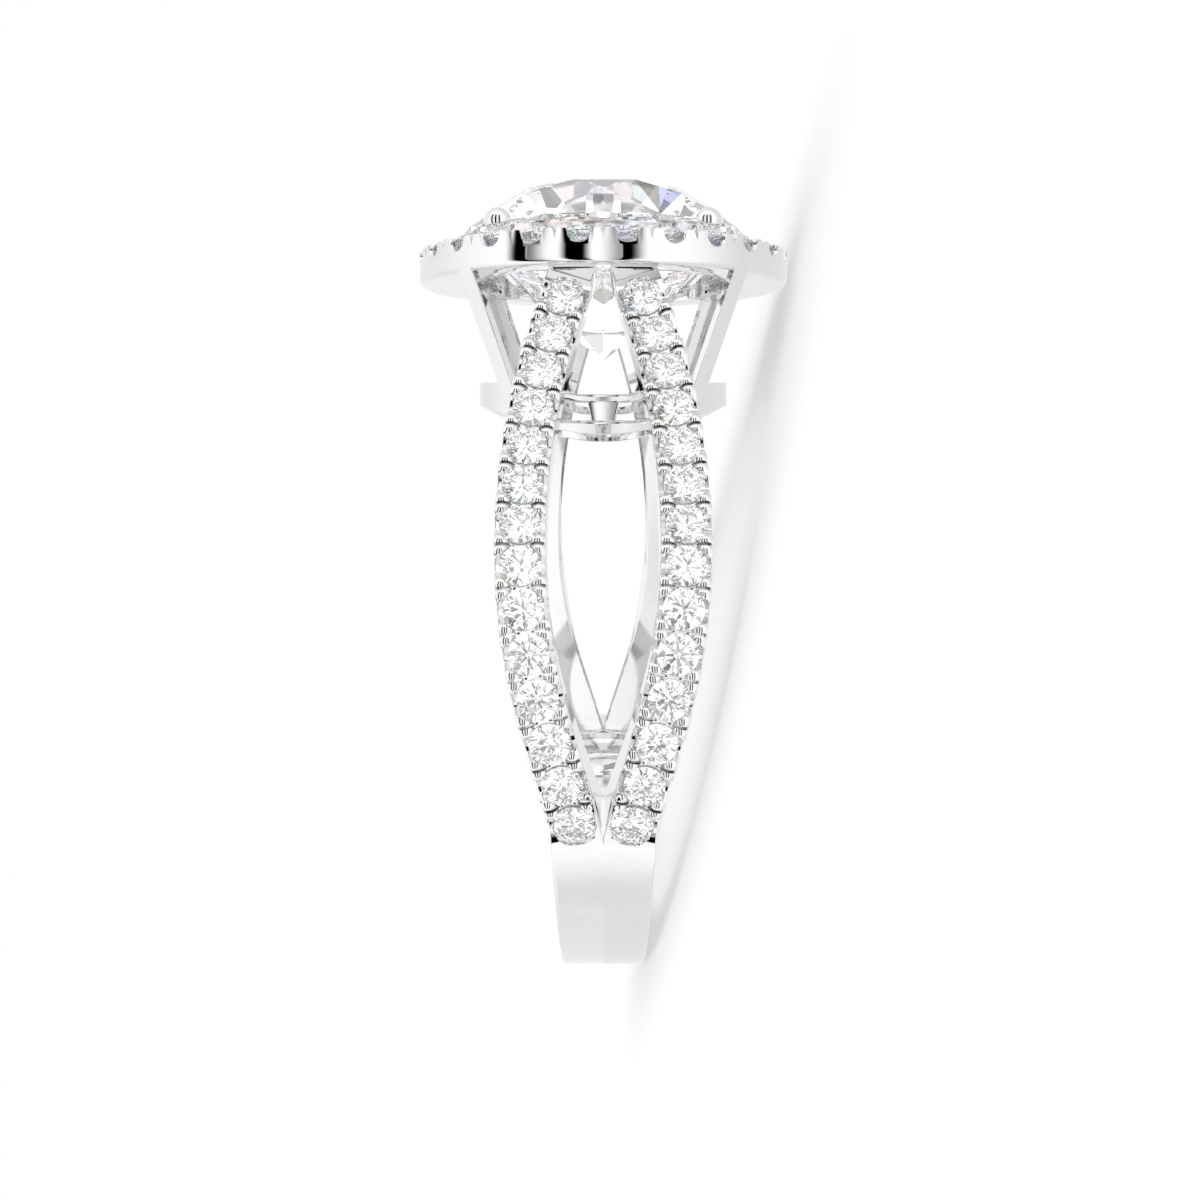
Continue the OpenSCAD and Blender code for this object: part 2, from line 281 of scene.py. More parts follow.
class Wiring:
    """Adds nodes to one shader tree in few words."""

    def __init__(self, tree: bpy.types.NodeTree) -> None:
        """Keeps the tree and empties it."""
        self.tree = tree
        tree.nodes.clear()

    def node(self, kind: str, *inputs: object, **settings: object) -> bpy.types.Node:
        """Adds a node.

        Args:
            kind: Blender's name of the node type, without "ShaderNode".
            inputs: values or sockets for its first inputs; None leaves an input alone.
            settings: properties of the node; a key like in_Name sets the input called Name.
        Returns:
            The new node.
        """
        made = self.tree.nodes.new(kind if kind.startswith("Node") else "ShaderNode" + kind)
        for key, value in settings.items():
            if not key.startswith("in_"):
                setattr(made, key, value)
        for socket, value in zip(made.inputs, inputs):
            self.feed(socket, value)
        for key, value in settings.items():
            if key.startswith("in_"):
                self.feed(made.inputs[key[3:].replace("_", " ")], value)
        return made

    def feed(self, socket: bpy.types.NodeSocket, value: object) -> None:
        """Links a socket to the input, or sets the input's value."""
        if value is None:
            return
        if isinstance(value, bpy.types.NodeSocket):
            self.tree.links.new(value, socket)
        else:
            socket.default_value = value

    def sum_up(self, operation: str, *inputs: object) -> bpy.types.NodeSocket:
        """A Math node's result."""
        return self.node("Math", *inputs, operation=operation).outputs[0]

    def product(self, *factors: object) -> bpy.types.NodeSocket:
        """Two or more values multiplied, from left to right."""
        made = factors[0]
        for factor in factors[1:]:
            made = self.sum_up("MULTIPLY", made, factor)
        return made

    def ramp(self, value: object, low: float, high: float, to_low: float = 0.0,
             to_high: float = 1.0) -> bpy.types.NodeSocket:
        """A smooth Map Range from low..high to to_low..to_high."""
        return self.node("MapRange", value, low, high, to_low, to_high,
                         interpolation_type="SMOOTHSTEP").outputs[0]

    def grey(self, value: object) -> bpy.types.NodeSocket:
        """The colour with one value in all three channels."""
        return self.node("CombineColor", value, value, value).outputs[0]

    def scaled(self, vector: bpy.types.NodeSocket, factor: object) -> bpy.types.NodeSocket:
        """A vector times a factor."""
        return self.node("VectorMath", vector, operation="SCALE", in_Scale=factor).outputs[0]

    def place(self) -> bpy.types.NodeSocket:
        """Object coordinates in millimetres."""
        return self.scaled(self.node("TexCoord").outputs["Object"], 1 / MM)


def group_tree(name: str, inputs: dict[str, float], outputs: dict[str, str]) -> Wiring:
    """Starts a shader node group with float inputs.

    Args:
        name: the group's name.
        inputs: input names with their defaults.
        outputs: output names with their socket types, without "NodeSocket".
    Returns:
        The wiring of the empty group; its tree has the named sockets.
    """
    tree = bpy.data.node_groups.new(name, "ShaderNodeTree")
    for key, value in inputs.items():
        socket = tree.interface.new_socket(key, in_out="INPUT", socket_type="NodeSocketFloat")
        socket.default_value = value
    for key, kind in outputs.items():
        tree.interface.new_socket(key, in_out="OUTPUT", socket_type="NodeSocket" + kind)
    return Wiring(tree)


@dataclass(frozen=True)
class PolishMarks:
    """Group: hairlines left by the polishing wheel, as a roughness and a height."""

    name: str = "polish_marks"

    def build(self) -> bpy.types.NodeTree:
        """Stretched noise in millimetres gives hairlines; wide noise lets them come and go.

        Returns:
            The node group, with inputs Density, Roughness and Spread, outputs Roughness, Height.
        """
        w = group_tree(self.name, {"Density": 1.0, "Roughness": 0.03, "Spread": 0.02},
                       {"Roughness": "Float", "Height": "Float"})
        source = w.node("NodeGroupInput")
        scaled = w.place()
        lines = w.node("Mapping", scaled, None, (0.3, 0.5, 0.2), (1.0, 14.0, 22.0))
        dense = w.scaled(lines.outputs[0], source.outputs["Density"])
        hair = w.node("TexNoise", dense, in_Scale=1.6, in_Detail=3.0, in_Roughness=0.65)
        patches = w.node("TexNoise", scaled, in_Scale=0.7, in_Detail=2.0)
        marks = w.product(w.ramp(hair.outputs["Fac"], 0.45, 0.75),
                          w.ramp(patches.outputs["Fac"], 0.35, 0.7))
        rough = w.sum_up("MULTIPLY_ADD", marks, source.outputs["Spread"],
                         source.outputs["Roughness"])
        w.node("NodeGroupOutput", rough, marks)
        return w.tree


@dataclass(frozen=True)
class HandlingFilm:
    """Group: a faint film in soft blotches, as a mask and a tinted colour."""

    name: str = "handling_film"
    blue: float = 0.006

    def build(self) -> bpy.types.NodeTree:
        """Two sizes of noise multiplied give blotches; the colour is darkened by their share.

        Returns:
            The node group, with inputs Scale, Amount, Light, outputs Colour and Mask.
        """
        w = group_tree(self.name, {"Scale": 1.0, "Amount": 0.05, "Light": 0.95},
                       {"Colour": "Color", "Mask": "Float"})
        source = w.node("NodeGroupInput")
        sized = w.scaled(w.place(), source.outputs["Scale"])
        wide = w.node("TexNoise", sized, in_Scale=0.45, in_Detail=4.0, in_Roughness=0.6)
        fine = w.node("TexNoise", sized, in_Scale=4.5, in_Detail=3.0, in_Roughness=0.7)
        blotch = w.product(w.ramp(wide.outputs["Fac"], 0.38, 0.66),
                           w.ramp(fine.outputs["Fac"], 0.3, 0.7))
        shade = w.sum_up("SUBTRACT", source.outputs["Light"],
                         w.product(blotch, source.outputs["Amount"]))
        cool = w.sum_up("MULTIPLY_ADD", blotch, self.blue, shade)
        colour = w.node("CombineColor", shade, shade, cool).outputs[0]
        w.node("NodeGroupOutput", colour, blotch)
        return w.tree


@dataclass
class SharedEffects:
    """The node groups that more than one material uses, each built once."""

    polish: bpy.types.NodeTree = field(default_factory=lambda: PolishMarks().build())
    film: bpy.types.NodeTree = field(default_factory=lambda: HandlingFilm().build())


@dataclass(frozen=True)
class Finish:
    """A material: a subclass wires its shader."""

    name: str

    def build(self, effects: SharedEffects) -> bpy.types.Material:
        """Makes the material and links what the subclass wires to its output.

        Args:
            effects: the shared node groups.
        Returns:
            The material.
        """
        material = bpy.data.materials.new(self.name)
        material.use_nodes = True
        w = Wiring(material.node_tree)
        w.node("OutputMaterial", self.shader(w, effects).outputs[0])
        return material

    def shader(self, w: Wiring, effects: SharedEffects) -> bpy.types.Node:
        """Wires the material's own nodes and returns the Principled shader."""
        raise NotImplementedError


@dataclass(frozen=True)
class WhiteMetal(Finish):
    """Polished white precious metal."""

    light: float = 0.8
    roughness: float = 0.03
    spread: float = 0.03
    film: float = 0.04
    bump: float = 0.02

    def shader(self, w: Wiring, effects: SharedEffects) -> bpy.types.Node:
        """Film gives the colour, polish marks the roughness and a very low bump."""
        film = w.node("Group", node_tree=effects.film, in_Scale=1.0, in_Amount=self.film,
                      in_Light=self.light)
        marks = w.node("Group", node_tree=effects.polish, in_Density=1.0,
                       in_Roughness=self.roughness, in_Spread=self.spread)
        rough = w.sum_up("MULTIPLY_ADD", film.outputs["Mask"], self.spread,
                         marks.outputs["Roughness"])
        bump = w.node("Bump", in_Strength=self.bump, in_Distance=2e-6,
                      in_Height=marks.outputs["Height"])
        return w.node("BsdfPrincipled", in_Base_Color=film.outputs["Colour"], in_Metallic=1.0,
                      in_Roughness=rough, in_IOR=1.5, in_Normal=bump.outputs[0])


@dataclass(frozen=True)
class CutGem(Finish):
    """Clear cut stone; each facet carries a painted tint: painted fire and painted greys, colours
    that stand in for light in the stone.
    """

    ior: float = 2.42
    film: float = 0.02
    dulled: float = 0.012

    def shader(self, w: Wiring, effects: SharedEffects) -> bpy.types.Node:
        """Each facet's painted tint of fire and greys times a faint film colours the glass; the
        film also dulls it a bit.
        """
        # Painted fire and painted greys of each facet, read as colour.
        tint = w.node("Attribute", attribute_name="painted_fire", attribute_type="GEOMETRY")
        film = w.node("Group", node_tree=effects.film, in_Scale=2.5, in_Amount=self.film,
                      in_Light=1.0)
        colour = w.node("Mix", data_type="RGBA", blend_type="MULTIPLY", factor_mode="UNIFORM")
        factor, first, second, result = 0, 6, 7, 2
        w.feed(colour.inputs[factor], 1.0)
        w.feed(colour.inputs[first], tint.outputs["Color"])
        w.feed(colour.inputs[second], film.outputs["Colour"])
        rough = w.ramp(film.outputs["Mask"], 0.0, 1.0, 0.0, self.dulled)
        return w.node("BsdfPrincipled", in_Base_Color=colour.outputs[result], in_Metallic=0.0,
                      in_Roughness=rough, in_IOR=self.ior, in_Transmission_Weight=1.0)


@dataclass(frozen=True)
class PaleFloor(Finish):
    """Matte pale table top under the ring."""

    light: float = 0.62
    mottle: float = 0.004
    glow: float = 0.55

    def shader(self, w: Wiring, effects: SharedEffects) -> bpy.types.Node:
        """A near-white matte with a faint wide mottle."""
        noise = w.node("TexNoise", w.node("TexCoord").outputs["Object"], in_Scale=60.0,
                       in_Detail=3.0)
        darkest = self.light - self.mottle
        colour = w.grey(w.ramp(noise.outputs["Fac"], 0.3, 0.7, darkest, self.light))
        return w.node("BsdfPrincipled", in_Base_Color=colour, in_Roughness=0.9,
                      in_Specular_IOR_Level=0.0, in_Emission_Color=colour,
                      in_Emission_Strength=self.glow)


# The split, stone-set bands


class Side(Enum):
    """The four bands and which way each is mirrored from the front right one."""

    FRONT_RIGHT = (False, False)
    FRONT_LEFT = (True, False)
    REAR_RIGHT = (False, True)
    REAR_LEFT = (True, True)

    @property
    def label(self) -> str:
        """The name in small letters."""
        return self.name.lower()


@dataclass(frozen=True)
class BandPath:
    """The path of one band over the outer face: a round stretch, then a straight arm."""

    finger_r: float = 8.25
    shank_r: float = 10.28
    lean_out: float = radians(26.7)
    lean_in: float = radians(20)
    girdle_sink: float = 0.13
    bow_x: float = 2.365
    bow_z: float = 4.4
    bow_r: float = 21.2
    bow_end: float = radians(15.5)
    half: float = 0.735
    pitch: float = 1.263
    count: int = 14
    round_count: int = 8
    top_z: float = 12.45
    fork_low_z: float = 11.3
    fork_half_low: float = 0.44
    fork_slope: float = 0.19 / 1.2
    base_half_low: float = 1.28
    base_half_high: float = 1.53
    base_top_z: float = -4.12

    @property
    def bend(self) -> float:
        """Path length at which the arm begins."""
        return self.shank_r * self.lean_out

    def _parts(self, s: Array) -> tuple[Array, Array]:
        """Angle on the round stretch and length run along the arm at path length s."""
        return np.minimum(s, self.bend) / self.shank_r, np.maximum(s - self.bend, 0)

    def at(self, s: Array, x: Array, depth: Array) -> Array:
        """Points on or under the outer face.

        Round part: angle a = s / R, point (x, -(R - depth) cos a, (R - depth) sin a). Arm: the
        same at a = lean, moved on by (s - bend) along (sin a, cos a).

        Args:
            s: path length, zero at the finger axis' height.
            x: distance from the middle.
            depth: distance below the outer face.
        Returns:
            The points.
        """
        s, x, depth = np.broadcast_arrays(s, x, depth)
        a, run = self._parts(s)
        r = self.shank_r - depth
        return np.stack([x, run * np.sin(a) - r * np.cos(a), r * np.sin(a) + run * np.cos(a)], -1)

    def height(self, s: Array, sink: float = 0.0) -> Array:
        """Height Z of the outer face, or of a line below it, at path length s."""
        return self.at(s, 0 * s, np.full_like(s, sink))[..., 2]

    def centre(self, s: Array) -> Array:
        """Distance of the band's middle from the ring's: an arc, then a straight line.

        Above the arc's foot x = bow_x - R + sqrt(R^2 - (z - bow_z)^2); below it the line goes on
        in the arc's last direction.

        Args:
            s: path lengths.
        Returns:
            The distances.
        """
        z = self.height(s, self.girdle_sink)
        foot_x = self.bow_x - self.bow_r * (1 - cos(self.bow_end))
        foot_z = self.bow_z - self.bow_r * sin(self.bow_end)
        rise = np.clip(z - self.bow_z, -20, 20)
        bow = self.bow_x - self.bow_r + np.sqrt(self.bow_r ** 2 - rise ** 2)
        return np.where(z > foot_z, bow, foot_x - (foot_z - z) * tan(self.bow_end))

    def slope(self, s: Array) -> Array:
        """Change of centre() with s."""
        return (self.centre(s + 0.01) - self.centre(s - 0.01)) / 0.02

    def thickness(self, s: Array) -> Array:
        """Depth of the inner face: the finger hole, then the line that leans over it.

        Args:
            s: path lengths.
        Returns:
            The depths below the outer face.
        """
        a, run = self._parts(s)
        turn = np.maximum(a - self.lean_in, 0)
        lost = tan(self.lean_out - self.lean_in) * run
        return self.shank_r - self.finger_r / np.cos(turn) - lost

    def stones(self) -> Array:
        """Spaces the stones of one row evenly along their girdles' path.

        Returns:
            Path lengths of the stones, from the lowest.
        """
        step = 2 * asin(self.pitch / 2 / (self.shank_r - self.girdle_sink))
        k = np.arange(self.count)
        arc = self.lean_out - np.maximum(self.round_count - 1 - k, 0) * step
        run = np.maximum(k - self.round_count + 1, 0) * self.pitch
        return arc * self.shank_r + run

    def base_edge(self, z: Array) -> Array:
        """Half width of the plain base at height z."""
        rise = (self.base_half_high - self.base_half_low) / (self.base_top_z + self.shank_r)
        return self.base_half_low + rise * (z + self.shank_r)


@dataclass
class StoneBand:
    """One band: a swept bar whose top is carved into seats, scallops, prongs and saw cuts."""

    path: BandPath
    seat_r: float = 0.6
    scallop_r: float = 0.38
    scallop_depth: float = 0.45
    low_scallop: float = 0.25
    first_scallop: float = 0.5
    slit_half: float = 0.036
    slit_soft: float = 0.006
    slit_depth: float = 0.34
    slit_from: tuple[float, float] = (0.26, 0.3)
    slit_fade: tuple[float, float] = (0.6, 0.7)
    slit_lost: float = 0.6
    prong_in: float = 0.42
    prong_out: float = 0.645
    prong_along: float = 0.15
    prong_reach: float = 0.2
    prong_bow: tuple[float, float] = (2.2, 2.6)
    prong_edge: tuple[float, float] = (0.3, 0.34)
    before_first: float = 0.645
    after_last: float = 0.632
    land_depth: float = 0.2
    land_edge: tuple[float, float] = (0.3, 0.36)
    well_depth: float = 0.155
    well_slope: float = 0.9
    well_soft: float = 0.024
    plate_depth: float = 0.07
    plate_gap: float = 0.1
    plate_soft: float = 0.03
    plate_edge: tuple[float, float] = (0.6, 0.625)
    wall_depth: float = 0.52
    fork_from_z: float = 9.0
    base_over: float = 1.0
    seam_width: float = 0.12
    edge: float = 0.022
    comfort: float = 0.1
    tail: float = 0.78
    crest: float = 0.24
    s_table: Array = field(init=False)
    l_table: Array = field(init=False)
    l_stones: Array = field(init=False)
    junctions: Array = field(init=False)
    tail_row: tuple[Array, Array, Array, int] = field(init=False)

    def __post_init__(self) -> None:
        """Tables of path length against length along the band's own middle line."""
        s = self.s_table = np.linspace(-6.0, 15.0, 8401)
        step = np.sqrt(1 + self.path.slope(s) ** 2) * (s[1] - s[0])
        self.l_table = np.concatenate([[0], np.cumsum((step[1:] + step[:-1]) / 2)])
        at = self.l_stones = np.interp(self.path.stones(), s, self.l_table)
        self.junctions = np.concatenate([[at[0] - self.before_first], (at[1:] + at[:-1]) / 2,
                                         [at[-1] + self.after_last]])

    def _rows(self) -> Array:
        """Spaces the cross-sections, close together at saw cuts and scallop edges.

        Returns:
            Their lengths along the band's middle line, from the tail to the top.
        """
        near = np.array([0, 0.024, 0.036, 0.048, 0.08, 0.12, 0.16, 0.2])
        far = np.array([0.412, 0.395, 0.382, 0.37, 0.35, 0.32, 0.28, 0.23, 0.17, 0.1, 0.0])
        top = np.interp(self._top_s(), self.s_table, self.l_table)
        rows = np.concatenate([
            (column(self.junctions) + np.concatenate([-near, near])).ravel(),
            (column(self.l_stones) + np.concatenate([-far, far])).ravel(),
            self.l_stones[0] - np.linspace(0.66, self.tail, 6),
            np.linspace(self.junctions[-1] + 0.22, top, 14)])
        rows = np.unique(np.round(rows, 4))
        return rows[rows >= self.l_stones[0] - self.tail]

    def _top_s(self) -> float:
        """Path length at which every corner of a cross-section is inside the halo."""
        p = self.path
        return p.bend + (p.top_z - p.shank_r * sin(p.lean_out)) / cos(p.lean_out) + 0.3

    def relief(self, length: Array, side: Array, cuts: Array) -> Array:
        """Depth of the carved top at a length along the band and a distance from its middle.

        The deepest of these holds: the seat, a well with a cone below it; the scallop, a round
        trough across the band at each stone; the saw cut between two stones; the lower land in
        the middle between them; and the rounding that makes a prong of what is left.

        Args:
            length: distances along the band's middle line.
            side: distances from that line, outwards positive.
            cuts: share of the scallops' and cuts' depth, 0 where two bands meet.
        Returns:
            The depths below the outer face.
        """
        gap = length[..., None] - self.l_stones
        nearest = np.abs(gap).argmin(-1)
        q = np.take_along_axis(gap, nearest[..., None], -1)[..., 0]
        j = np.abs(length[..., None] - self.junctions).min(-1)
        w = np.abs(side)
        rho = np.hypot(q, side)
        low_end = (nearest == 0) & (q < 0)
        between = (length > self.l_stones[0]) & (length < self.l_stones[-1])
        well = seat(rho, self.seat_r, self.well_depth, self.well_slope, self.well_soft)
        arch = self.scallop_depth * np.clip(1 - (q / self.scallop_r) ** 2, 0, None)
        arch = np.where(low_end, arch * self.low_scallop,
                        np.where(nearest == 0, arch * self.first_scallop, arch))
        slit = 1 - smooth_step(self.slit_half - self.slit_soft, self.slit_half + self.slit_soft, j)
        slit = self.slit_depth * slit * smooth_step(*self.slit_from, w) * between
        slit = slit * (1 - self.slit_lost * smooth_step(*self.slit_fade, w))
        land = self.land_depth * (1 - smooth_step(*self.land_edge, w)) * between
        reach = self.prong_reach
        from_crest = np.clip(w - (self.prong_in + self.prong_out) / 2, -reach, reach)
        along = np.clip(j - self.prong_along, -reach, reach)
        drop = self.prong_bow[0] * from_crest ** 2 + self.prong_bow[1] * along ** 2
        prong = drop * (1 - smooth_step(*self.prong_edge, j)) * between
        plate = self._plate(length, w)
        return np.maximum.reduce([well, arch * cuts, slit * cuts, land, prong * cuts, plate])

    def _plate(self, length: Array, w: Array) -> Array:
        """The shallow flat plate between two rims above the last stone."""
        start = self.junctions[-1] + self.plate_gap
        inside = smooth_step(start, start + self.plate_soft, length)
        return self.plate_depth * (inside * (1 - smooth_step(*self.plate_edge, w)))

    def sections(self) -> tuple[Array, Array, Array]:
        """Path length, distance from the middle and depth of every point of the sweep.

        Each cross-section is a closed loop: over the carved top, round the outer edge, down the
        outer wall, over the finger side and up the inner wall.

        Returns:
            Three arrays (rows, corners).
        """
        p = self.path
        length = self._rows()
        s0 = np.interp(length, self.l_table, self.s_table)
        slope = p.slope(s0)
        norm = np.sqrt(1 + slope ** 2)
        z = p.height(s0)
        fork = p.fork_half_low - p.fork_slope * (z - p.fork_low_z)
        fork = np.where(z > self.fork_from_z, fork, 0)
        w_in = np.maximum(-p.half, (fork - p.centre(s0)) * norm)
        w_out = np.full_like(s0, p.half)
        for _ in range(4):
            edge_z = p.height(s0 - w_out * slope / norm)
            base = (p.base_edge(edge_z) - p.centre(s0)) * norm
            low = edge_z < p.base_top_z + self.base_over
            w_out = np.where(low, np.maximum(p.half, base), p.half)
        free = smooth_step(0.0, self.seam_width, w_in + p.half)
        edge_in, comfort_in = column(self.edge * (1 - free)), column(self.comfort * (1 - free))
        slope, middle, norm = column(slope / norm), column(p.centre(s0)), column(norm)
        thick, w_in, w_out = column(p.thickness(s0)), column(w_in), column(w_out)
        half_top = np.array([0, .12, .22, .28, .31, .35, .39, .42, .46, .5, .54, .58, .61, .63,
                             .645, .657, .668, .68, .69, .702])
        side = np.concatenate([-half_top[:0:-1], half_top]) / p.half
        scale = np.where(side < 0, -w_in - edge_in, w_out - self.edge) / (half_top[-1] / p.half)
        top_w = side * scale
        from_middle = middle + top_w / norm
        cuts = smooth_step(self.crest, 2.4 * self.crest, from_middle)
        top_d = self.relief(np.broadcast_to(column(length), top_w.shape), top_w, cuts)
        top_d = top_d * smooth_step(self.crest / 5, self.crest, from_middle)
        roll, bend = np.radians([30, 60, 90]), np.array([0, 0.5, 1])
        across = np.linspace(0, 1, 7)[1:-1]
        wall = np.concatenate([0 * thick + self.wall_depth, (self.wall_depth + thick) / 2], 1)
        begin, stop = w_out - self.comfort, w_in + comfort_in
        w = np.concatenate([
            top_w, w_out - self.edge * (1 - np.sin(roll)), np.repeat(w_out, 2, 1),
            w_out - self.comfort * bend, begin + (stop - begin) * across,
            w_in + comfort_in * bend[::-1], np.repeat(w_in, 2, 1),
            w_in + edge_in * (1 - np.sin(roll[::-1]))], 1)
        depth = np.concatenate([
            top_d, top_d[:, -1:] + self.edge * (1 - np.cos(roll)), wall,
            thick - self.comfort * bend[::-1], np.repeat(thick, len(across), 1),
            thick - comfort_in * bend, wall[:, ::-1],
            top_d[:, :1] + edge_in * (1 - np.cos(roll[::-1]))], 1)
        s = np.minimum(column(s0) - w * slope, self._top_s() - 0.3)
        x = middle + w / norm
        self.tail_row = (s[0], x[0], depth[0], top_w.shape[1])
        return s, x, depth

    def shell(self, side: Side) -> Shell:
        """The closed band on one of the four sides."""
        return skin(mirrored(self.path.at(*self.sections()), *side.value))


@dataclass
class ForkWeb:
    """The small roof-shaped web at the bottom of the fork between two bands."""

    band: StoneBand
    top_s: float = -3.54
    tip_s: float = -4.2
    wall_from: float = -5.5
    wall_to: float = -2.5
    top_depth: float = 0.6
    deep: float = 2.0
    least_deep: float = 0.08
    overlap: float = 0.03
    ridge_half: float = 0.03
    ridge_swell: float = 0.2
    fall: float = 0.4

    def shell(self) -> Shell:
        """Carries a roof from its upper edge out to the tip, its foot on the fork's own edge.

        Row t runs from the upper edge (0) to the tip (1): the ridge's depth is top_depth (1 - t),
        its half width ridge_half + ridge_swell t (1 - t), and each side falls evenly to the wall.

        Returns:
            The closed webs at the front and the rear.
        """
        p = self.band.path
        s0 = np.linspace(self.wall_from, self.wall_to, 301)
        norm = np.sqrt(1 + p.slope(s0) ** 2)
        wall_s, wall_x = s0 + p.half * p.slope(s0) / norm, p.centre(s0) - p.half / norm
        end_s = np.interp(0, wall_x, wall_s)
        t = np.linspace(0, 1, 13)
        s = np.append(self.top_s + (self.tip_s - self.top_s) * t, end_s)
        t = np.append(t, 1)
        half = np.clip(np.interp(s, wall_s, wall_x), 0, None) + self.overlap
        ridge = np.minimum(self.ridge_half + self.ridge_swell * t * (1 - t), half / 2)
        ridge_d = self.top_depth * (1 - t)
        side_d = ridge_d + self.fall * (half - ridge)
        foot_d = np.maximum(self.deep * (1 - t), self.least_deep)
        foot_s = np.full_like(s, end_s) - self.overlap
        foot_x = np.full_like(s, self.overlap / 2)
        rows_s = np.stack([s, s, s, foot_s, foot_s, s], 1)
        rows_x = np.stack([-ridge, ridge, half, foot_x, -foot_x, -half], 1)
        rows_d = np.stack([ridge_d, ridge_d, side_d, foot_d, foot_d, side_d], 1)
        return front_and_rear([skin(p.at(rows_s, rows_x, rows_d))])


@dataclass
class PlainBase:
    """The plain lower part of the shank: a strip bent round the finger hole."""

    band: StoneBand
    bevel: float = 0.1
    rows: int = 64
    inner_corners: int = 8
    growth: float = 0.12
    tiny: float = 1e-6

    def shell(self) -> Shell:
        """Carries the bands' last cross-section round the bottom to the rear.

        Row v runs from the front seam (0) to the bottom (1): s = mix(seam, bottom, v), and X keeps
        its share of the half width at that row; the edge's bevel grows from the bands' to its own.

        Returns:
            The closed strip.
        """
        p = self.band.path
        s_end, x_end, d_end, top = self.band.tail_row
        outer = slice(0, len(s_end) - self.inner_corners)
        start = int(np.argmin(x_end[outer][:top]))
        s_half, x_half, d_half = (values[outer][start:] for values in (s_end, x_end, d_end))
        order = np.arange(len(s_half) - 1, 0, -1)
        s_loop = np.concatenate([s_half, s_half[order]])
        x_loop = np.concatenate([x_half, -x_half[order]])
        d_loop = np.concatenate([d_half, d_half[order]])
        widest = x_loop.max()
        s_edge = s_half[int(np.argmax(x_half))]
        bottom = -p.shank_r * pi / 2
        v = np.linspace(0, 1, self.rows + 1)[:, None]
        s = s_loop + (bottom - s_loop) * v
        edge_s = s_edge + (bottom - s_edge) * v
        half = p.base_edge(p.height(edge_s))
        half = half * (widest / half[0, 0])
        half = half + (p.base_edge(p.height(edge_s)) - half) * v
        grow = 1 + (self.bevel / self.band.edge - 1) * smooth_step(0, self.growth, v)
        from_edge = widest - np.abs(x_loop)
        roll = self.band.edge + self.tiny
        on_roll = (from_edge < roll) & (d_loop < roll)
        limit = half - self.band.edge * grow
        on_top = np.abs(x_loop) / (widest - self.band.edge) * limit
        x = np.sign(x_loop) * np.where(
            on_roll, half - from_edge * grow, np.where(
                d_loop < self.tiny, np.minimum(on_top, limit), np.abs(x_loop) / widest * half))
        d = np.where(on_roll, d_loop * grow, d_loop)
        front = p.at(s, x, d)
        rear = mirrored(front[-2::-1], False, True)
        return skin(np.concatenate([front, rear]))


# Halo, gallery, posts and claws


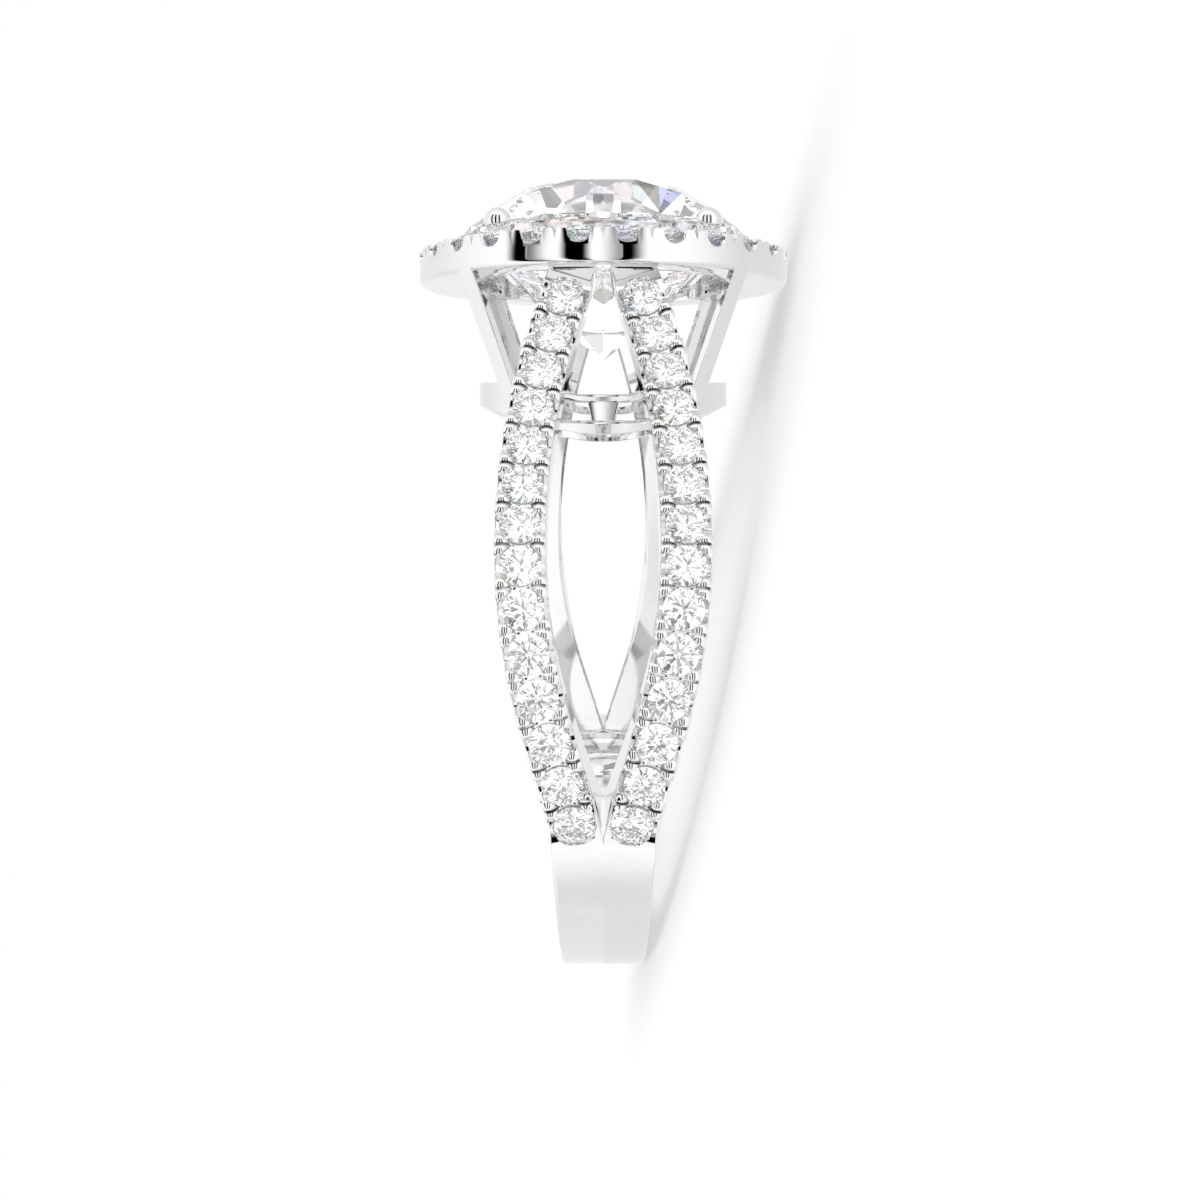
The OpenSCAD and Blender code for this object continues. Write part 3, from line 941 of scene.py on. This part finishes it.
@dataclass
class Halo:
    """The round rim: a ring whose top is carved into seats, scallops and split beads."""

    out_r: float = 6.11
    in_r: float = 4.62
    low_z: float = 12.3
    top_z: float = 13.4
    round_r: float = 0.2
    count: int = 26
    stone_r: float = 0.6
    row_r: float = 5.42
    seat_r: float = 0.605
    scallop_r: float = 0.33
    flare: float = 0.05
    notch_half: float = 0.085
    notch_depth: float = 0.33
    notch_from: tuple[float, float] = (0.12, 0.2)
    scallop_depth: float = 0.1
    flare_reach: float = 0.09
    bead_at: float = 0.19
    bead_r: float = 5.86
    bead_reach: float = 0.3
    bead_bow: tuple[float, float] = (0.9, 0.5)
    land_depth: float = 0.12
    land_half: float = 0.2
    land_edge: tuple[float, float] = (0.02, 0.06)
    land_along: float = 0.4
    well_depth: float = 0.125
    well_slope: float = 0.9
    well_soft: float = 0.02
    lip: float = 0.03
    low_edge: float = 0.06
    top_edge: float = 0.04
    wall_z: float = 12.85
    inner_wall_z: float = 12.9

    def _angles(self) -> Array:
        """Spaces the cross-sections, close together at cuts and scallop edges.

        Returns:
            Their angles about the head's axis, from the front.
        """
        step = 2 * pi / self.count
        half = pi * self.out_r / self.count
        near = np.array([0, 0.02, 0.045, 0.07, 0.085, 0.1, 0.14, 0.19, 0.24, 0.29])
        far = np.array([0.42, 0.408, 0.4, 0.385, 0.365, 0.345, 0.33, 0.3, 0.25, 0.19, 0.13, 0.06,
                        0.0])
        mm = np.concatenate([near, half - far])
        mm = np.unique(np.round(np.concatenate([mm, -mm]), 5))
        mm = mm[(mm > -half + 1e-6) & (mm <= half + 1e-6)]
        return (np.arange(self.count)[:, None] * step + mm[None, :] / self.out_r).ravel()

    def relief(self, angle: Array, r: Array) -> Array:
        """Depth of the carved top at an angle from the front and a distance from the axis.

        The deepest of these holds: the seat, the round trough from the stone out through the
        wall, the V notch that splits each bead, and the rounding of the beads.

        Args:
            angle: angles about the head's axis.
            r: distances from it.
        Returns:
            The depths below the top face.
        """
        step = 2 * pi / self.count
        off = (angle / step - np.round(angle / step)) * step
        turn = step / 2 - np.abs(off)
        x, y = r * np.cos(turn) - self.row_r, r * np.sin(turn)
        rho = np.hypot(x, y)
        well = seat(rho, self.seat_r, self.well_depth, self.well_slope, self.well_soft)
        open_share = np.clip((r - self.out_r) / self.flare_reach + 1, 0, 1)
        mouth = self.scallop_r + self.flare * open_share
        arch = self.scallop_depth + np.sqrt(np.clip(mouth ** 2 - y ** 2, 0, None))
        arch = np.where((np.abs(y) < mouth) & (r > self.row_r), arch, 0)
        j = np.abs(off) * r
        cut = self.notch_depth * np.clip(1 - j / self.notch_half, 0, 1)
        near, far = self.notch_from
        cut = cut * smooth_step(self.row_r + near, self.row_r + far, r)
        bead = sum(bow * np.clip(gap, -self.bead_reach, self.bead_reach) ** 2
                   for bow, gap in zip(self.bead_bow, (j - self.bead_at, r - self.bead_r)))
        from_land = np.abs(r - self.row_r) - self.land_half
        land = self.land_depth * (1 - smooth_step(*self.land_edge, from_land))
        land = land * (j < self.land_along)
        return np.maximum.reduce([well, arch, cut, bead, land])

    def shell(self) -> Shell:
        """Turns a closed loop of r and z about the head's axis, with the carved top laid over it.

        Returns:
            The closed ring.
        """
        angle = self._angles()[:, None]
        top_r = np.concatenate([
            np.linspace(self.in_r + self.top_edge, self.row_r - 0.15, 10),
            np.linspace(self.row_r - 0.1, self.row_r + 0.1, 3),
            np.linspace(self.row_r + 0.14, self.out_r - 0.11, 11),
            self.out_r - np.array([0.09, 0.07, 0.05, 0.03])])
        r_top = np.broadcast_to(top_r, (len(angle), len(top_r)))
        z_top = self.top_z - self.relief(np.broadcast_to(angle, r_top.shape), r_top)
        t = np.radians([30, 60, 90])
        lip_r = self.out_r - self.lip * (1 - np.sin(t))
        lip_z = z_top[:, -1:] - self.lip * (1 - np.cos(t))
        low, inner = np.radians([0, 18, 36, 54, 72, 90]), np.radians([0, 45, 80])
        fix_r = np.concatenate([
            [self.out_r], self.out_r - self.round_r * (1 - np.cos(low)),
            np.linspace(self.out_r - self.round_r, self.in_r + self.low_edge, 4)[1:],
            self.in_r + self.low_edge * (1 - np.sin(t)), [self.in_r],
            self.in_r + self.top_edge * (1 - np.cos(inner))])
        fix_z = np.concatenate([
            [self.wall_z], self.low_z + self.round_r * (1 - np.sin(low)), [self.low_z] * 3,
            self.low_z + self.low_edge * (1 - np.cos(t)), [self.inner_wall_z],
            self.top_z - self.top_edge * (1 - np.sin(inner))])
        ones = np.ones_like(angle)
        r = np.concatenate([r_top, ones * lip_r, ones * fix_r], 1)
        z = np.concatenate([z_top, lip_z, ones * fix_z], 1)
        return skin(around(r, angle, z), closed=True)


@dataclass
class Gallery:
    """The curved ring under the stone, pierced by two windows at the front and the rear."""

    out_r: float = 4.14
    wall: float = 0.5
    top_z: float = 9.13
    top_r: float = 16.5
    low_r: float = 8.38
    pillar_low: float = 0.36
    pillar_high: float = 0.5
    pillar_inset: float = 0.15
    window_out: float = 1.4
    window_spread: float = 0.3
    pillar_overlap: float = 0.05
    ridge_slope: float = 0.89
    ridge_share: float = 0.78
    dip: float = 0.08
    window_low: float = 7.72
    window_top: float = 8.34

    def _low(self, y: Array) -> Array:
        """Height of the ring's underside, which follows the finger hole."""
        return np.sqrt(self.low_r ** 2 - y ** 2)

    def _top(self, y: Array) -> Array:
        """Height of the ring's arched top."""
        return self.top_z - self.top_r + np.sqrt(self.top_r ** 2 - y ** 2)

    def _rail(self, half: float, low: float | None, high: float | None) -> Shell:
        """A curved rail with a ridge along the middle of its outer face.

        Each cross-section has the ridge at out_r, ridge_share of the way up, and its outer edges
        are set back by ridge_slope times their distance from it; the upper rail dips by up to
        dip towards the middle.

        Args:
            half: X at which the rail ends.
            low: height of its lower face, or None for the ring's own underside.
            high: height of its upper face, or None for the ring's own top.
        Returns:
            The closed rail.
        """
        x = np.linspace(-half, half, 33)[:, None]
        y = -np.sqrt(self.out_r ** 2 - x ** 2)
        bottom = self._low(y) if low is None else 0 * y + low
        top = self._top(y) if high is None else 0 * y + high
        sag = self.dip * (1 - smooth_step(half / 2, half, np.abs(x))) * (high is None)
        height = top - bottom
        inner = 0 * x + self.out_r - self.wall
        r = np.concatenate([
            self.out_r - self.ridge_slope * self.ridge_share * height, 0 * x + self.out_r,
            self.out_r - self.ridge_slope * (1 - self.ridge_share) * height, inner, inner], 1)
        z = np.concatenate([bottom, bottom + self.ridge_share * height, top, top, bottom], 1)
        return skin(around(r, np.arctan2(x, -y), z - sag))

    def _pillar(self) -> Shell:
        """The pillar between the rails: its half width grows evenly from the foot to the top.

        Returns:
            The closed pillar at the front.
        """
        t = np.linspace(-1, 1, 13)[:, None]
        outer = self.out_r - self.pillar_inset
        r = np.array([outer, outer, self.out_r - self.wall, self.out_r - self.wall])
        upper = np.array([0, 1, 1, 0])
        x = np.where(upper, self.pillar_high, self.pillar_low) * t
        foot = self.window_low - self.pillar_overlap
        z = np.where(upper, self.window_top - self.dip / 2, foot) + 0 * x
        return skin(np.stack([x, -np.sqrt(r ** 2 - x ** 2), z], -1))

    def _flank(self, side: int) -> Shell:
        """The plain part of the ring on one side, between the windows' outer edges.

        Args:
            side: 1 for the right and -1 for the left.
        Returns:
            The closed flank.
        """
        t = np.linspace(0, 1, 49)[:, None]
        r = np.array([self.out_r, self.out_r, self.out_r - self.wall, self.out_r - self.wall])
        upper = np.array([0, 1, 1, 0])
        edge = np.where(upper, self.window_out, self.window_out + self.window_spread)
        start = np.arcsin(edge / r)
        angle = start + (pi - 2 * start) * t
        y = -r * np.cos(angle)
        return skin(around(r, side * angle, np.where(upper, self._top(y), self._low(y))))

    def shell(self) -> Shell:
        """Two plain flanks, and at the front and the rear two rails with a pillar between."""
        windows = [self._rail(self.window_out, self.window_top, None),
                   self._rail(self.window_out + self.window_spread, None, self.window_low),
                   self._pillar()]
        return joined([self._flank(1), self._flank(-1), front_and_rear(windows)])


@dataclass
class BasketPost:
    """A leaning post with a T-shaped cross-section, from the gallery up to the halo."""

    foot_r: float = 4.14
    foot_z: float = 8.3
    top_z: float = 12.4
    slope: float = 0.473
    flange_half: float = 0.32
    flange_depth: float = 0.25
    web_half: float = 0.17
    web_depth: float = 1.0

    def shell(self) -> Shell:
        """Carries the T up along the lean: r = foot + slope (z - foot_z) - inset."""
        inset = np.array([0, 0, self.flange_depth, self.flange_depth, self.web_depth,
                          self.web_depth, self.flange_depth, self.flange_depth])
        side = np.array([-self.flange_half, self.flange_half, self.flange_half, self.web_half,
                         self.web_half, -self.web_half, -self.web_half, -self.flange_half])
        z = np.linspace(self.foot_z, self.top_z, 9)[:, None]
        r = self.foot_r + self.slope * (z - self.foot_z) - inset
        return skin(np.stack(np.broadcast_arrays(r, side, z), -1))


@dataclass
class Claw:
    """A claw: a round stem through the halo's inner edge that swells into a bead."""

    stem_at: float = 4.62
    stem_r: float = 0.3
    foot_z: float = 12.35
    stem_rows: int = 6
    bead_rows: int = 26
    corners: int = 48
    last_angle: float = radians(88.5)
    bead_at: float = 4.68
    bead_z: float = 13.98
    bead_r: float = 0.43
    shift_z: tuple[float, float] = (13.3, 13.9)

    def shell(self) -> Shell:
        """Turns a profile about the stem, whose middle shifts outwards to the bead's.

        Profile: the stem's radius up to the neck, then the bead's circle r = sqrt(R^2 - z^2).

        Returns:
            The closed claw, on the line to the right.
        """
        neck = -sqrt(self.bead_r ** 2 - self.stem_r ** 2)
        dome = np.linspace(asin(neck / self.bead_r), self.last_angle, self.bead_rows)
        stem_z = np.linspace(self.foot_z, self.bead_z + neck - 0.02, self.stem_rows)
        z = column(np.append(stem_z, self.bead_z + self.bead_r * np.sin(dome)))
        r = column(np.append(np.full(self.stem_rows, self.stem_r), self.bead_r * np.cos(dome)))
        middle = self.stem_at + (self.bead_at - self.stem_at) * smooth_step(*self.shift_z, z)
        a = np.linspace(0, 2 * pi, self.corners, endpoint=False)
        return skin(np.stack(np.broadcast_arrays(middle + r * np.cos(a), r * np.sin(a), z), -1))


# Cut stones


@dataclass
class Brilliant:
    """A round full cut of 57 facets with a girdle of short arcs."""

    diameter: float
    table_share: float = 0.57
    crown_share: float = 0.152
    pavilion_share: float = 0.43
    girdle_share: float = 0.02
    plain_girdle: float = 0.015
    arc: int = 4
    tip_share: float = 0.23
    arc_limit: float = 0.7
    painted_greys: float = 0.1
    painted_fire_share: float = 0.22

    def shell(self, rng: np.random.Generator, painted_fire: float) -> Shell:
        """The stone about the middle of its girdle, with a painted tint of fire and greys for each
        facet.

        Table corners at 45 k degrees, star tips half-way between; a kite is flat when
        z falls evenly with r cos(angle from its middle). The girdle's arcs lie where the halves'
        planes meet the round wall: z = edge - slope (r - chord).

        Args:
            rng: source of the facets' tints.
            painted_fire: how strong the painted fire tints are.
        Returns:
            The closed stone.
        """
        r = self.diameter / 2
        k = np.arange(8)
        half_girdle = self.girdle_share * r
        table_r = self.table_share * r
        table_z = self.crown_share * self.diameter + self.plain_girdle * r
        star_r = (table_r * cos(pi / 8) + r) / 2
        drop = (star_r * cos(pi / 8) - table_r) / (r - table_r)
        star_z = table_z + (half_girdle - table_z) * drop
        culet_z = -self.plain_girdle * r - self.pavilion_share * self.diameter
        tip_r = self.tip_share * r
        tip_z = culet_z + (-half_girdle - culet_z) * tip_r * cos(pi / 8) / r

        def ring(radius: float, angles: Array, z: object) -> Array:
            """Points on a circle at the given angles and heights."""
            return np.stack([radius * np.cos(angles), radius * np.sin(angles),
                             np.broadcast_to(z, angles.shape)], -1)

        n = 16 * self.arc
        a = np.arange(n) * 2 * pi / n
        within = (np.arange(n) % self.arc) / self.arc * pi / 8
        chord = r * cos(pi / 16)
        bulge = r * np.cos(within - pi / 16) - chord
        up = (star_z - half_girdle) / (chord - star_r * cos(pi / 16))
        down = (-half_girdle - tip_z) / (chord - tip_r * cos(pi / 16))
        upper_z = half_girdle - np.minimum(up * bulge, half_girdle * self.arc_limit)
        lower_z = -half_girdle + np.minimum(down * bulge, half_girdle * self.arc_limit)
        points = np.concatenate([
            ring(table_r, k * pi / 4, table_z), ring(star_r, (k + 0.5) * pi / 4, star_z),
            ring(tip_r, (k + 0.5) * pi / 4, tip_z), [[0, 0, culet_z]],
            ring(r, a, upper_z), ring(r, a, lower_z)])
        star, tip, culet, up0 = 8, 16, 24, 25
        low0 = up0 + n
        k1 = (k + 1) % 8
        km = (k + 7) % 8
        main = 2 * self.arc * k
        steps = np.arange(self.arc + 1)
        first = (column(main) + steps) % n
        second = (column(main) + self.arc + steps) % n
        wall = np.arange(n)
        blocks = [
            k[None, :],
            np.stack([k, star + k, k1], 1),
            np.stack([k, star + km, up0 + main, star + k], 1),
            np.concatenate([column(star + k), up0 + first], 1),
            np.concatenate([column(star + k), up0 + second], 1),
            np.stack([up0 + wall, low0 + wall, low0 + (wall + 1) % n, up0 + (wall + 1) % n], 1),
            np.concatenate([column(tip + k), (low0 + first)[:, ::-1]], 1),
            np.concatenate([column(tip + k), (low0 + second)[:, ::-1]], 1),
            np.stack([np.full(8, culet), tip + k, low0 + main, tip + km], 1)]
        faces = [face for block in blocks for face in block.tolist()]
        return Shell(points, faces, self._tints(rng, len(faces), painted_fire)).outward()

    def _tints(self, rng: np.random.Generator, count: int, painted_fire: float) -> Array:
        """A painted tint for each facet: mostly clear, some greyer as painted shade of dark
        reflections, a few blue, violet or orange as painted fire.

        The table, the kites and the pavilion's mains take no hue.

        Args:
            rng: source of the draws.
            count: number of facets.
            painted_fire: share by which a painted fire facet leaves white.
        Returns:
            Array (count, 3) of colours.
        """
        hues = np.array([[0.72, 0.84, 1.0], [0.84, 0.76, 1.0], [1.0, 0.84, 0.66],
                         [0.7, 0.95, 1.0], [1.0, 0.8, 0.86]])
        # Painted shade: some facets darker, standing for dark reflections in a clear stone.
        grey = 1 - self.painted_greys * rng.random(count) ** 2
        # Painted fire: a share of the facets take a blue, violet or orange tint.
        pick = hues[rng.integers(0, len(hues), count)]
        chosen = (rng.random(count) < self.painted_fire_share)[:, None]
        kites, mains = slice(9, 17), slice(-8, None)
        chosen[kites] = chosen[mains] = False
        tint = np.where(chosen, 1 - (1 - pick) * painted_fire, 1.0) * grey[:, None]
        tint[0] = 1.0
        return tint


def placed(points: Array, centre: Array, axis: Array, side: Array) -> Array:
    """Points carried to a place: centre + x side + y (axis x side) + z axis.

    Args:
        points: the points about zero.
        centre: where zero goes.
        axis: unit direction of z.
        side: unit direction of x, at right angles to the axis.
    Returns:
        The points in place.
    """
    return (centre + points[:, :1] * side + points[:, 1:2] * np.cross(axis, side)
            + points[:, 2:] * axis)


@dataclass
class StoneSetting:
    """All the cut stones: the centre stone, the halo's and the four rows."""

    path: BandPath
    halo: Halo
    centre_d: float = 9.3
    centre_z: float = 13.95
    band_d: float = 1.19
    halo_girdle_z: float = 13.3
    # Strengths of the painted fire on the centre stone and on the small stones.
    centre_painted_fire: float = 0.6
    small_painted_fire: float = 0.8
    centre_seed: int = 11
    halo_seed: int = 31
    row_seed: int = 20
    painted_kite: int = 15
    painted_kite_reflections: tuple[tuple[float, float, float], ...] = ((0.1, 0.095, 0.07), (0.28, 0.32, 0.8))

    def centre(self) -> Shell:
        """The large stone, its table upwards and an edge of it to the front.

        One kite, right of the front, is cut along two lines from its lower corner, and its two new
        facets are painted with a dark painted reflection and a blue painted flash of fire; the
        cuts lie in its own plane, and the star facet beside it takes the new corner into its edge.

        Returns:
            The closed stone.
        """
        rng = np.random.default_rng(self.centre_seed)
        stone = Brilliant(self.centre_d, girdle_share=0.022).shell(rng, self.centre_painted_fire)
        corner, low, edge, high = stone.faces[self.painted_kite]
        middle, between = len(stone.points), (stone.points[corner] + stone.points[high]) / 2
        star = next(i for i in range(1, 9) if {corner, high} <= set(stone.faces[i]))
        face = list(stone.faces[star])
        first, second = sorted((face.index(corner), face.index(high)))
        face.insert(second if second - first == 1 else len(face), middle)
        stone.faces[star] = face
        stone.faces[self.painted_kite] = [corner, low, edge]
        stone.faces += [[corner, edge, middle], [middle, edge, high]]
        # Painted reflection: one new facet near black, the other blue, as colour on the glass.
        stone.tint = np.concatenate([stone.tint, self.painted_kite_reflections])
        stone.points = turned(np.concatenate([stone.points, [between]]), REST.stone_turn)
        stone.points = stone.points + np.array([0, 0, self.centre_z])
        return stone

    def _set(self, diameter: float, seed: int, centres: Array, axes: Array, sides: Array) -> Shell:
        """Small stones at the given places, each turned a little differently and with its own
        painted fire and painted greys.

        Args:
            diameter: the stones' diameter.
            seed: start of the random turns and tints.
            centres: middles of the girdles.
            axes: directions of the tables.
            sides: directions at right angles to the axes, from which the turns are counted.
        Returns:
            The stones as one shell.
        """
        rng = np.random.default_rng(seed)
        shells = []
        for centre, axis, side in zip(centres, axes, sides):
            stone = Brilliant(diameter, girdle_share=0.03, arc=2).shell(rng, self.small_painted_fire)
            spin = rng.random() * pi / 4
            turned_side = side * cos(spin) + np.cross(axis, side) * sin(spin)
            stone.points = placed(stone.points, centre, axis, turned_side)
            shells.append(stone)
        return joined(shells)

    def row(self, side: Side) -> Shell:
        """The stones of one band, on its path with their tables square to the outer face.

        Args:
            side: the band.
        Returns:
            The stones as one shell.
        """
        p = self.path
        s = p.stones()
        x = p.centre(s)
        flip_x, flip_y = side.value
        centres = p.at(s, x, np.full_like(s, p.girdle_sink))
        axes = p.at(s, x, 0 * s) - p.at(s, x, 0 * s + 1)
        sides = np.broadcast_to([1.0, 0, 0], axes.shape)
        seed = self.row_seed + list(Side).index(side)
        return self._set(self.band_d, seed, mirrored(centres, flip_x, flip_y),
                         mirrored(axes, flip_x, flip_y), sides)

    def ring(self) -> Shell:
        """The halo's stones, the first half a step from the front, tables upwards.

        Returns:
            The stones as one shell.
        """
        h = self.halo
        a = (np.arange(h.count) + 0.5) * 2 * pi / h.count
        centres = around(h.row_r, a, self.halo_girdle_z)
        axes = np.broadcast_to([0.0, 0, 1], centres.shape)
        return self._set(2 * h.stone_r, self.halo_seed, centres, axes, around(1, a, 0))


# Studio


@dataclass(frozen=True)
class DarkStrip:
    """A dark strip of the studio, by its directions from the ring in degrees.

    It sets in between the first two azimuths and fades out between the last two.
    """

    edges: tuple[float, float, float, float]
    low: float = -62.0
    high: float = 45.0
    soft: float = 6.0
    depth: float = 1.0


@dataclass
class Studio:
    """A white studio with a few dark strips, a pale floor and the camera."""

    level: float = 1.26
    floor_level: float = 1.16
    left_light: float = 0.76
    left_edge: tuple[float, float] = (-150.0, -55.0)
    right_light: float = 0.72
    right_edge: tuple[float, float] = (45.0, 95.0)
    under_light: float = 0.72
    under_edge: tuple[float, float] = (-88.0, -66.0)
    gem_level: float = 1.35
    gem_dark: float = 0.18
    gem_scale: float = 1.3
    gem_spot: float = 0.45
    spot_edge: tuple[float, float] = (9.0, 15.0)
    gem_low: float = 0.36
    gem_high: float = 0.44
    strips: tuple[DarkStrip, ...] = (
        DarkStrip((-62, -54, -47.8, -46.6)), DarkStrip((-47.2, -46.6, -46.6, -32), depth=0.8),
        DarkStrip((-27.8, -21.8, -12.5, -6)), DarkStrip((-3, 11.0, 11.1, 11.4), depth=0.65),
        DarkStrip((11.1, 11.7, 16.5, 28)))
    camera_at: tuple[float, float, float] = (0.0, -56.35, 5.39)
    pitch: float = 0.063
    shift: float = -3.3 / 1200

    def _strips(self, w: Wiring, azimuth: object, elevation: object) -> bpy.types.NodeSocket:
        """Light left by the dark strips: 1 outside them and 1 - depth inside.

        Args:
            w: wiring of the world.
            azimuth: direction from the front, in degrees.
            elevation: direction above the finger axis' plane, in degrees.
        Returns:
            The socket with the share of light.
        """
        light = None
        for strip in self.strips:
            a, b, c, d = strip.edges
            inside = w.product(w.ramp(azimuth, a, b), w.ramp(azimuth, c, d, 1.0, 0.0))
            above = w.ramp(elevation, strip.low - strip.soft, strip.low + strip.soft)
            below = w.ramp(elevation, strip.high - strip.soft, strip.high + strip.soft,
                           strip.depth, 0.0)
            left = w.sum_up("SUBTRACT", 1.0, w.product(inside, above, below))
            light = left if light is None else w.product(light, left)
        return light

    def world(self) -> None:
        """White all round for plain rays; reflections see strips, cut stones a lively pattern.

        The direction is turned back upright, its azimuth is atan2(x, -y) from the front and its
        elevation asin(z); a strip darkens where both are inside its range. Light that comes out
        of a stone meets soft dark patches, as between the lamps and flags of a studio.
        """
        world = bpy.data.worlds.new("soft_studio")
        bpy.context.scene.world = world
        world.use_nodes = True
        w = Wiring(world.node_tree)
        direction = w.node("TexCoord").outputs["Generated"]
        turn = w.node("VectorRotate", direction, rotation_type="Y_AXIS", invert=False,
                      in_Angle=-(pi / 2 - REST.lean)).outputs[0]
        parts = w.node("SeparateXYZ", turn)
        x, y, z = parts.outputs
        azimuth = w.sum_up("DEGREES", w.sum_up("ARCTAN2", x, w.product(y, -1.0)))
        elevation = w.sum_up("DEGREES", w.sum_up("ARCSINE", z))
        left = w.ramp(azimuth, *self.left_edge, self.left_light, 1.0)
        right = w.ramp(azimuth, *self.right_edge, 1.0, self.right_light)
        under = w.ramp(elevation, *self.under_edge, self.under_light, 1.0)
        dim = w.sum_up("MINIMUM", w.sum_up("MINIMUM", left, right), under)
        shade = w.product(dim, self._strips(w, azimuth, elevation))
        patches = w.node("TexNoise", turn, in_Scale=self.gem_scale, in_Detail=0.5,
                         in_Roughness=0.6)
        lively = w.product(
            w.ramp(patches.outputs["Fac"], self.gem_low, self.gem_high, self.gem_dark, 1.0),
            w.ramp(y, *(-cos(radians(edge)) for edge in self.spot_edge), self.gem_spot, 1.0))
        white = (1, 1, 1, 1)
        path = w.node("LightPath")
        mixed = w.node("Background", w.grey(shade), self.level)
        for rays, colour, level in (("Is Transmission Ray", w.grey(lively), self.gem_level),
                                    ("Is Diffuse Ray", white, self.floor_level),
                                    ("Is Camera Ray", white, 1.0)):
            other = w.node("Background", colour, level)
            mixed = w.node("MixShader", path.outputs[rays], mixed.outputs[0], other.outputs[0])
        w.node("OutputWorld", mixed.outputs[0])

    def floor(self, effects: SharedEffects) -> None:
        """A wide pale floor at the height on which the part rests."""
        n = 8
        t = np.linspace(-1, 1, n + 1)
        x, y = np.meshgrid(t, t, indexing="ij")
        grid = np.stack([x, y, 0 * x], -1).reshape(-1, 3)
        k = (column(np.arange(n)) * (n + 1) + np.arange(n)).ravel()
        squares = np.stack([k, k + n + 1, k + n + 2, k + 1], 1)
        mesh = bpy.data.meshes.new("floor")
        mesh.from_pydata(grid.tolist(), [], squares.tolist())
        mesh.materials.append(PaleFloor("pale_floor").build(effects))
        floor = bpy.data.objects.new("floor", mesh)
        bpy.context.scene.collection.objects.link(floor)
        floor.visible_glossy = floor.visible_transmission = False

    def camera(self) -> None:
        """The camera in front of the ring, a little above its middle and pitched down."""
        data = bpy.data.cameras.new("camera")
        data.lens, data.sensor_width = 50.0, 36.0
        data.shift_x = self.shift
        data.clip_start, data.clip_end = 0.002, 20.0
        camera = bpy.data.objects.new("camera", data)
        upright = Matrix.Rotation(pi / 2 - self.pitch, 4, "X")
        place = Matrix.Translation(Vector(REST.place(np.array(self.camera_at))))
        camera.matrix_world = place @ REST.matrix() @ upright
        bpy.context.scene.collection.objects.link(camera)
        bpy.context.scene.camera = camera

    def light_paths(self) -> None:
        """Enough bounces for cut stones in metal seats, and plain colour handling."""
        scene = bpy.context.scene
        scene.view_settings.view_transform = "Standard"
        cycles = scene.cycles
        cycles.max_bounces, cycles.transmission_bounces = 32, 32
        cycles.glossy_bounces, cycles.diffuse_bounces = 32, 3
        cycles.sample_clamp_indirect = 8.0
        cycles.use_denoising = True

    def build(self, effects: SharedEffects) -> None:
        """Sets up everything round the ring."""
        self.camera()
        self.world()
        self.floor(effects)
        self.light_paths()


# The ring


@dataclass
class HaloRing:
    """The whole ring: builds and dresses each sub-assembly in order."""

    effects: SharedEffects
    path: BandPath = field(default_factory=BandPath)
    halo: Halo = field(default_factory=Halo)
    metal: bpy.types.Material = field(init=False)
    centre_gem: bpy.types.Material = field(init=False)
    small_gem: bpy.types.Material = field(init=False)
    halo_gem: bpy.types.Material = field(init=False)

    def __post_init__(self) -> None:
        """Builds the finishes."""
        self.metal = WhiteMetal("polished_white_metal").build(self.effects)
        self.centre_gem = CutGem("centre_stone_glass", ior=2.0).build(self.effects)
        self.small_gem = CutGem("small_stone_glass").build(self.effects)
        self.halo_gem = CutGem("halo_stone_glass", ior=2.1).build(self.effects)

    def _metal(self, bevel: float = 0.0, sharp: float = 35.0) -> Dressing:
        """The dressing of a metal piece."""
        return Dressing(self.metal, "ring_metal", ("ring_body",), sharp, bevel)

    def shank(self) -> None:
        """The four stone-set bands and the plain base that joins them."""
        band = StoneBand(self.path)
        for side in Side:
            make_piece(f"{side.label}_band", band.shell(side), self._metal())
        make_piece("plain_base", PlainBase(band).shell(), self._metal())
        make_piece("fork_webs", ForkWeb(band).shell(), self._metal(sharp=8.0))

    def head(self) -> None:
        """The halo's rim, the gallery, the basket posts and the claws."""
        make_piece("halo_rim", self.halo.shell(), self._metal(sharp=20.0))
        make_piece("gallery", Gallery().shell(), self._metal(bevel=0.03))
        make_piece("basket_posts", at_corners(BasketPost().shell()), self._metal(bevel=0.025))
        make_piece("claws", at_corners(Claw().shell()), self._metal())

    def stones(self) -> None:
        """The centre stone, the halo's stones and the four rows."""
        setting = StoneSetting(self.path, self.halo)
        make_piece("centre_brilliant", setting.centre(),
                   Dressing(self.centre_gem, "centre_gem", ("centre_stone",), None))
        make_piece("halo_brilliants", setting.ring(),
                   Dressing(self.halo_gem, "halo_gems", ("halo_stones",), None))
        for side in Side:
            make_piece(f"{side.label}_brilliants", setting.row(side),
                       Dressing(self.small_gem, "band_gems", (f"{side.label}_stones",), None))


def main() -> None:
    logging.basicConfig(level=logging.INFO, format="%(name)s: %(message)s")
    effects = SharedEffects()
    Studio().build(effects)
    ring = HaloRing(effects)
    ring.shank()
    ring.head()
    ring.stones()
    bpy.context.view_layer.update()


if __name__ == "__main__":
    main()
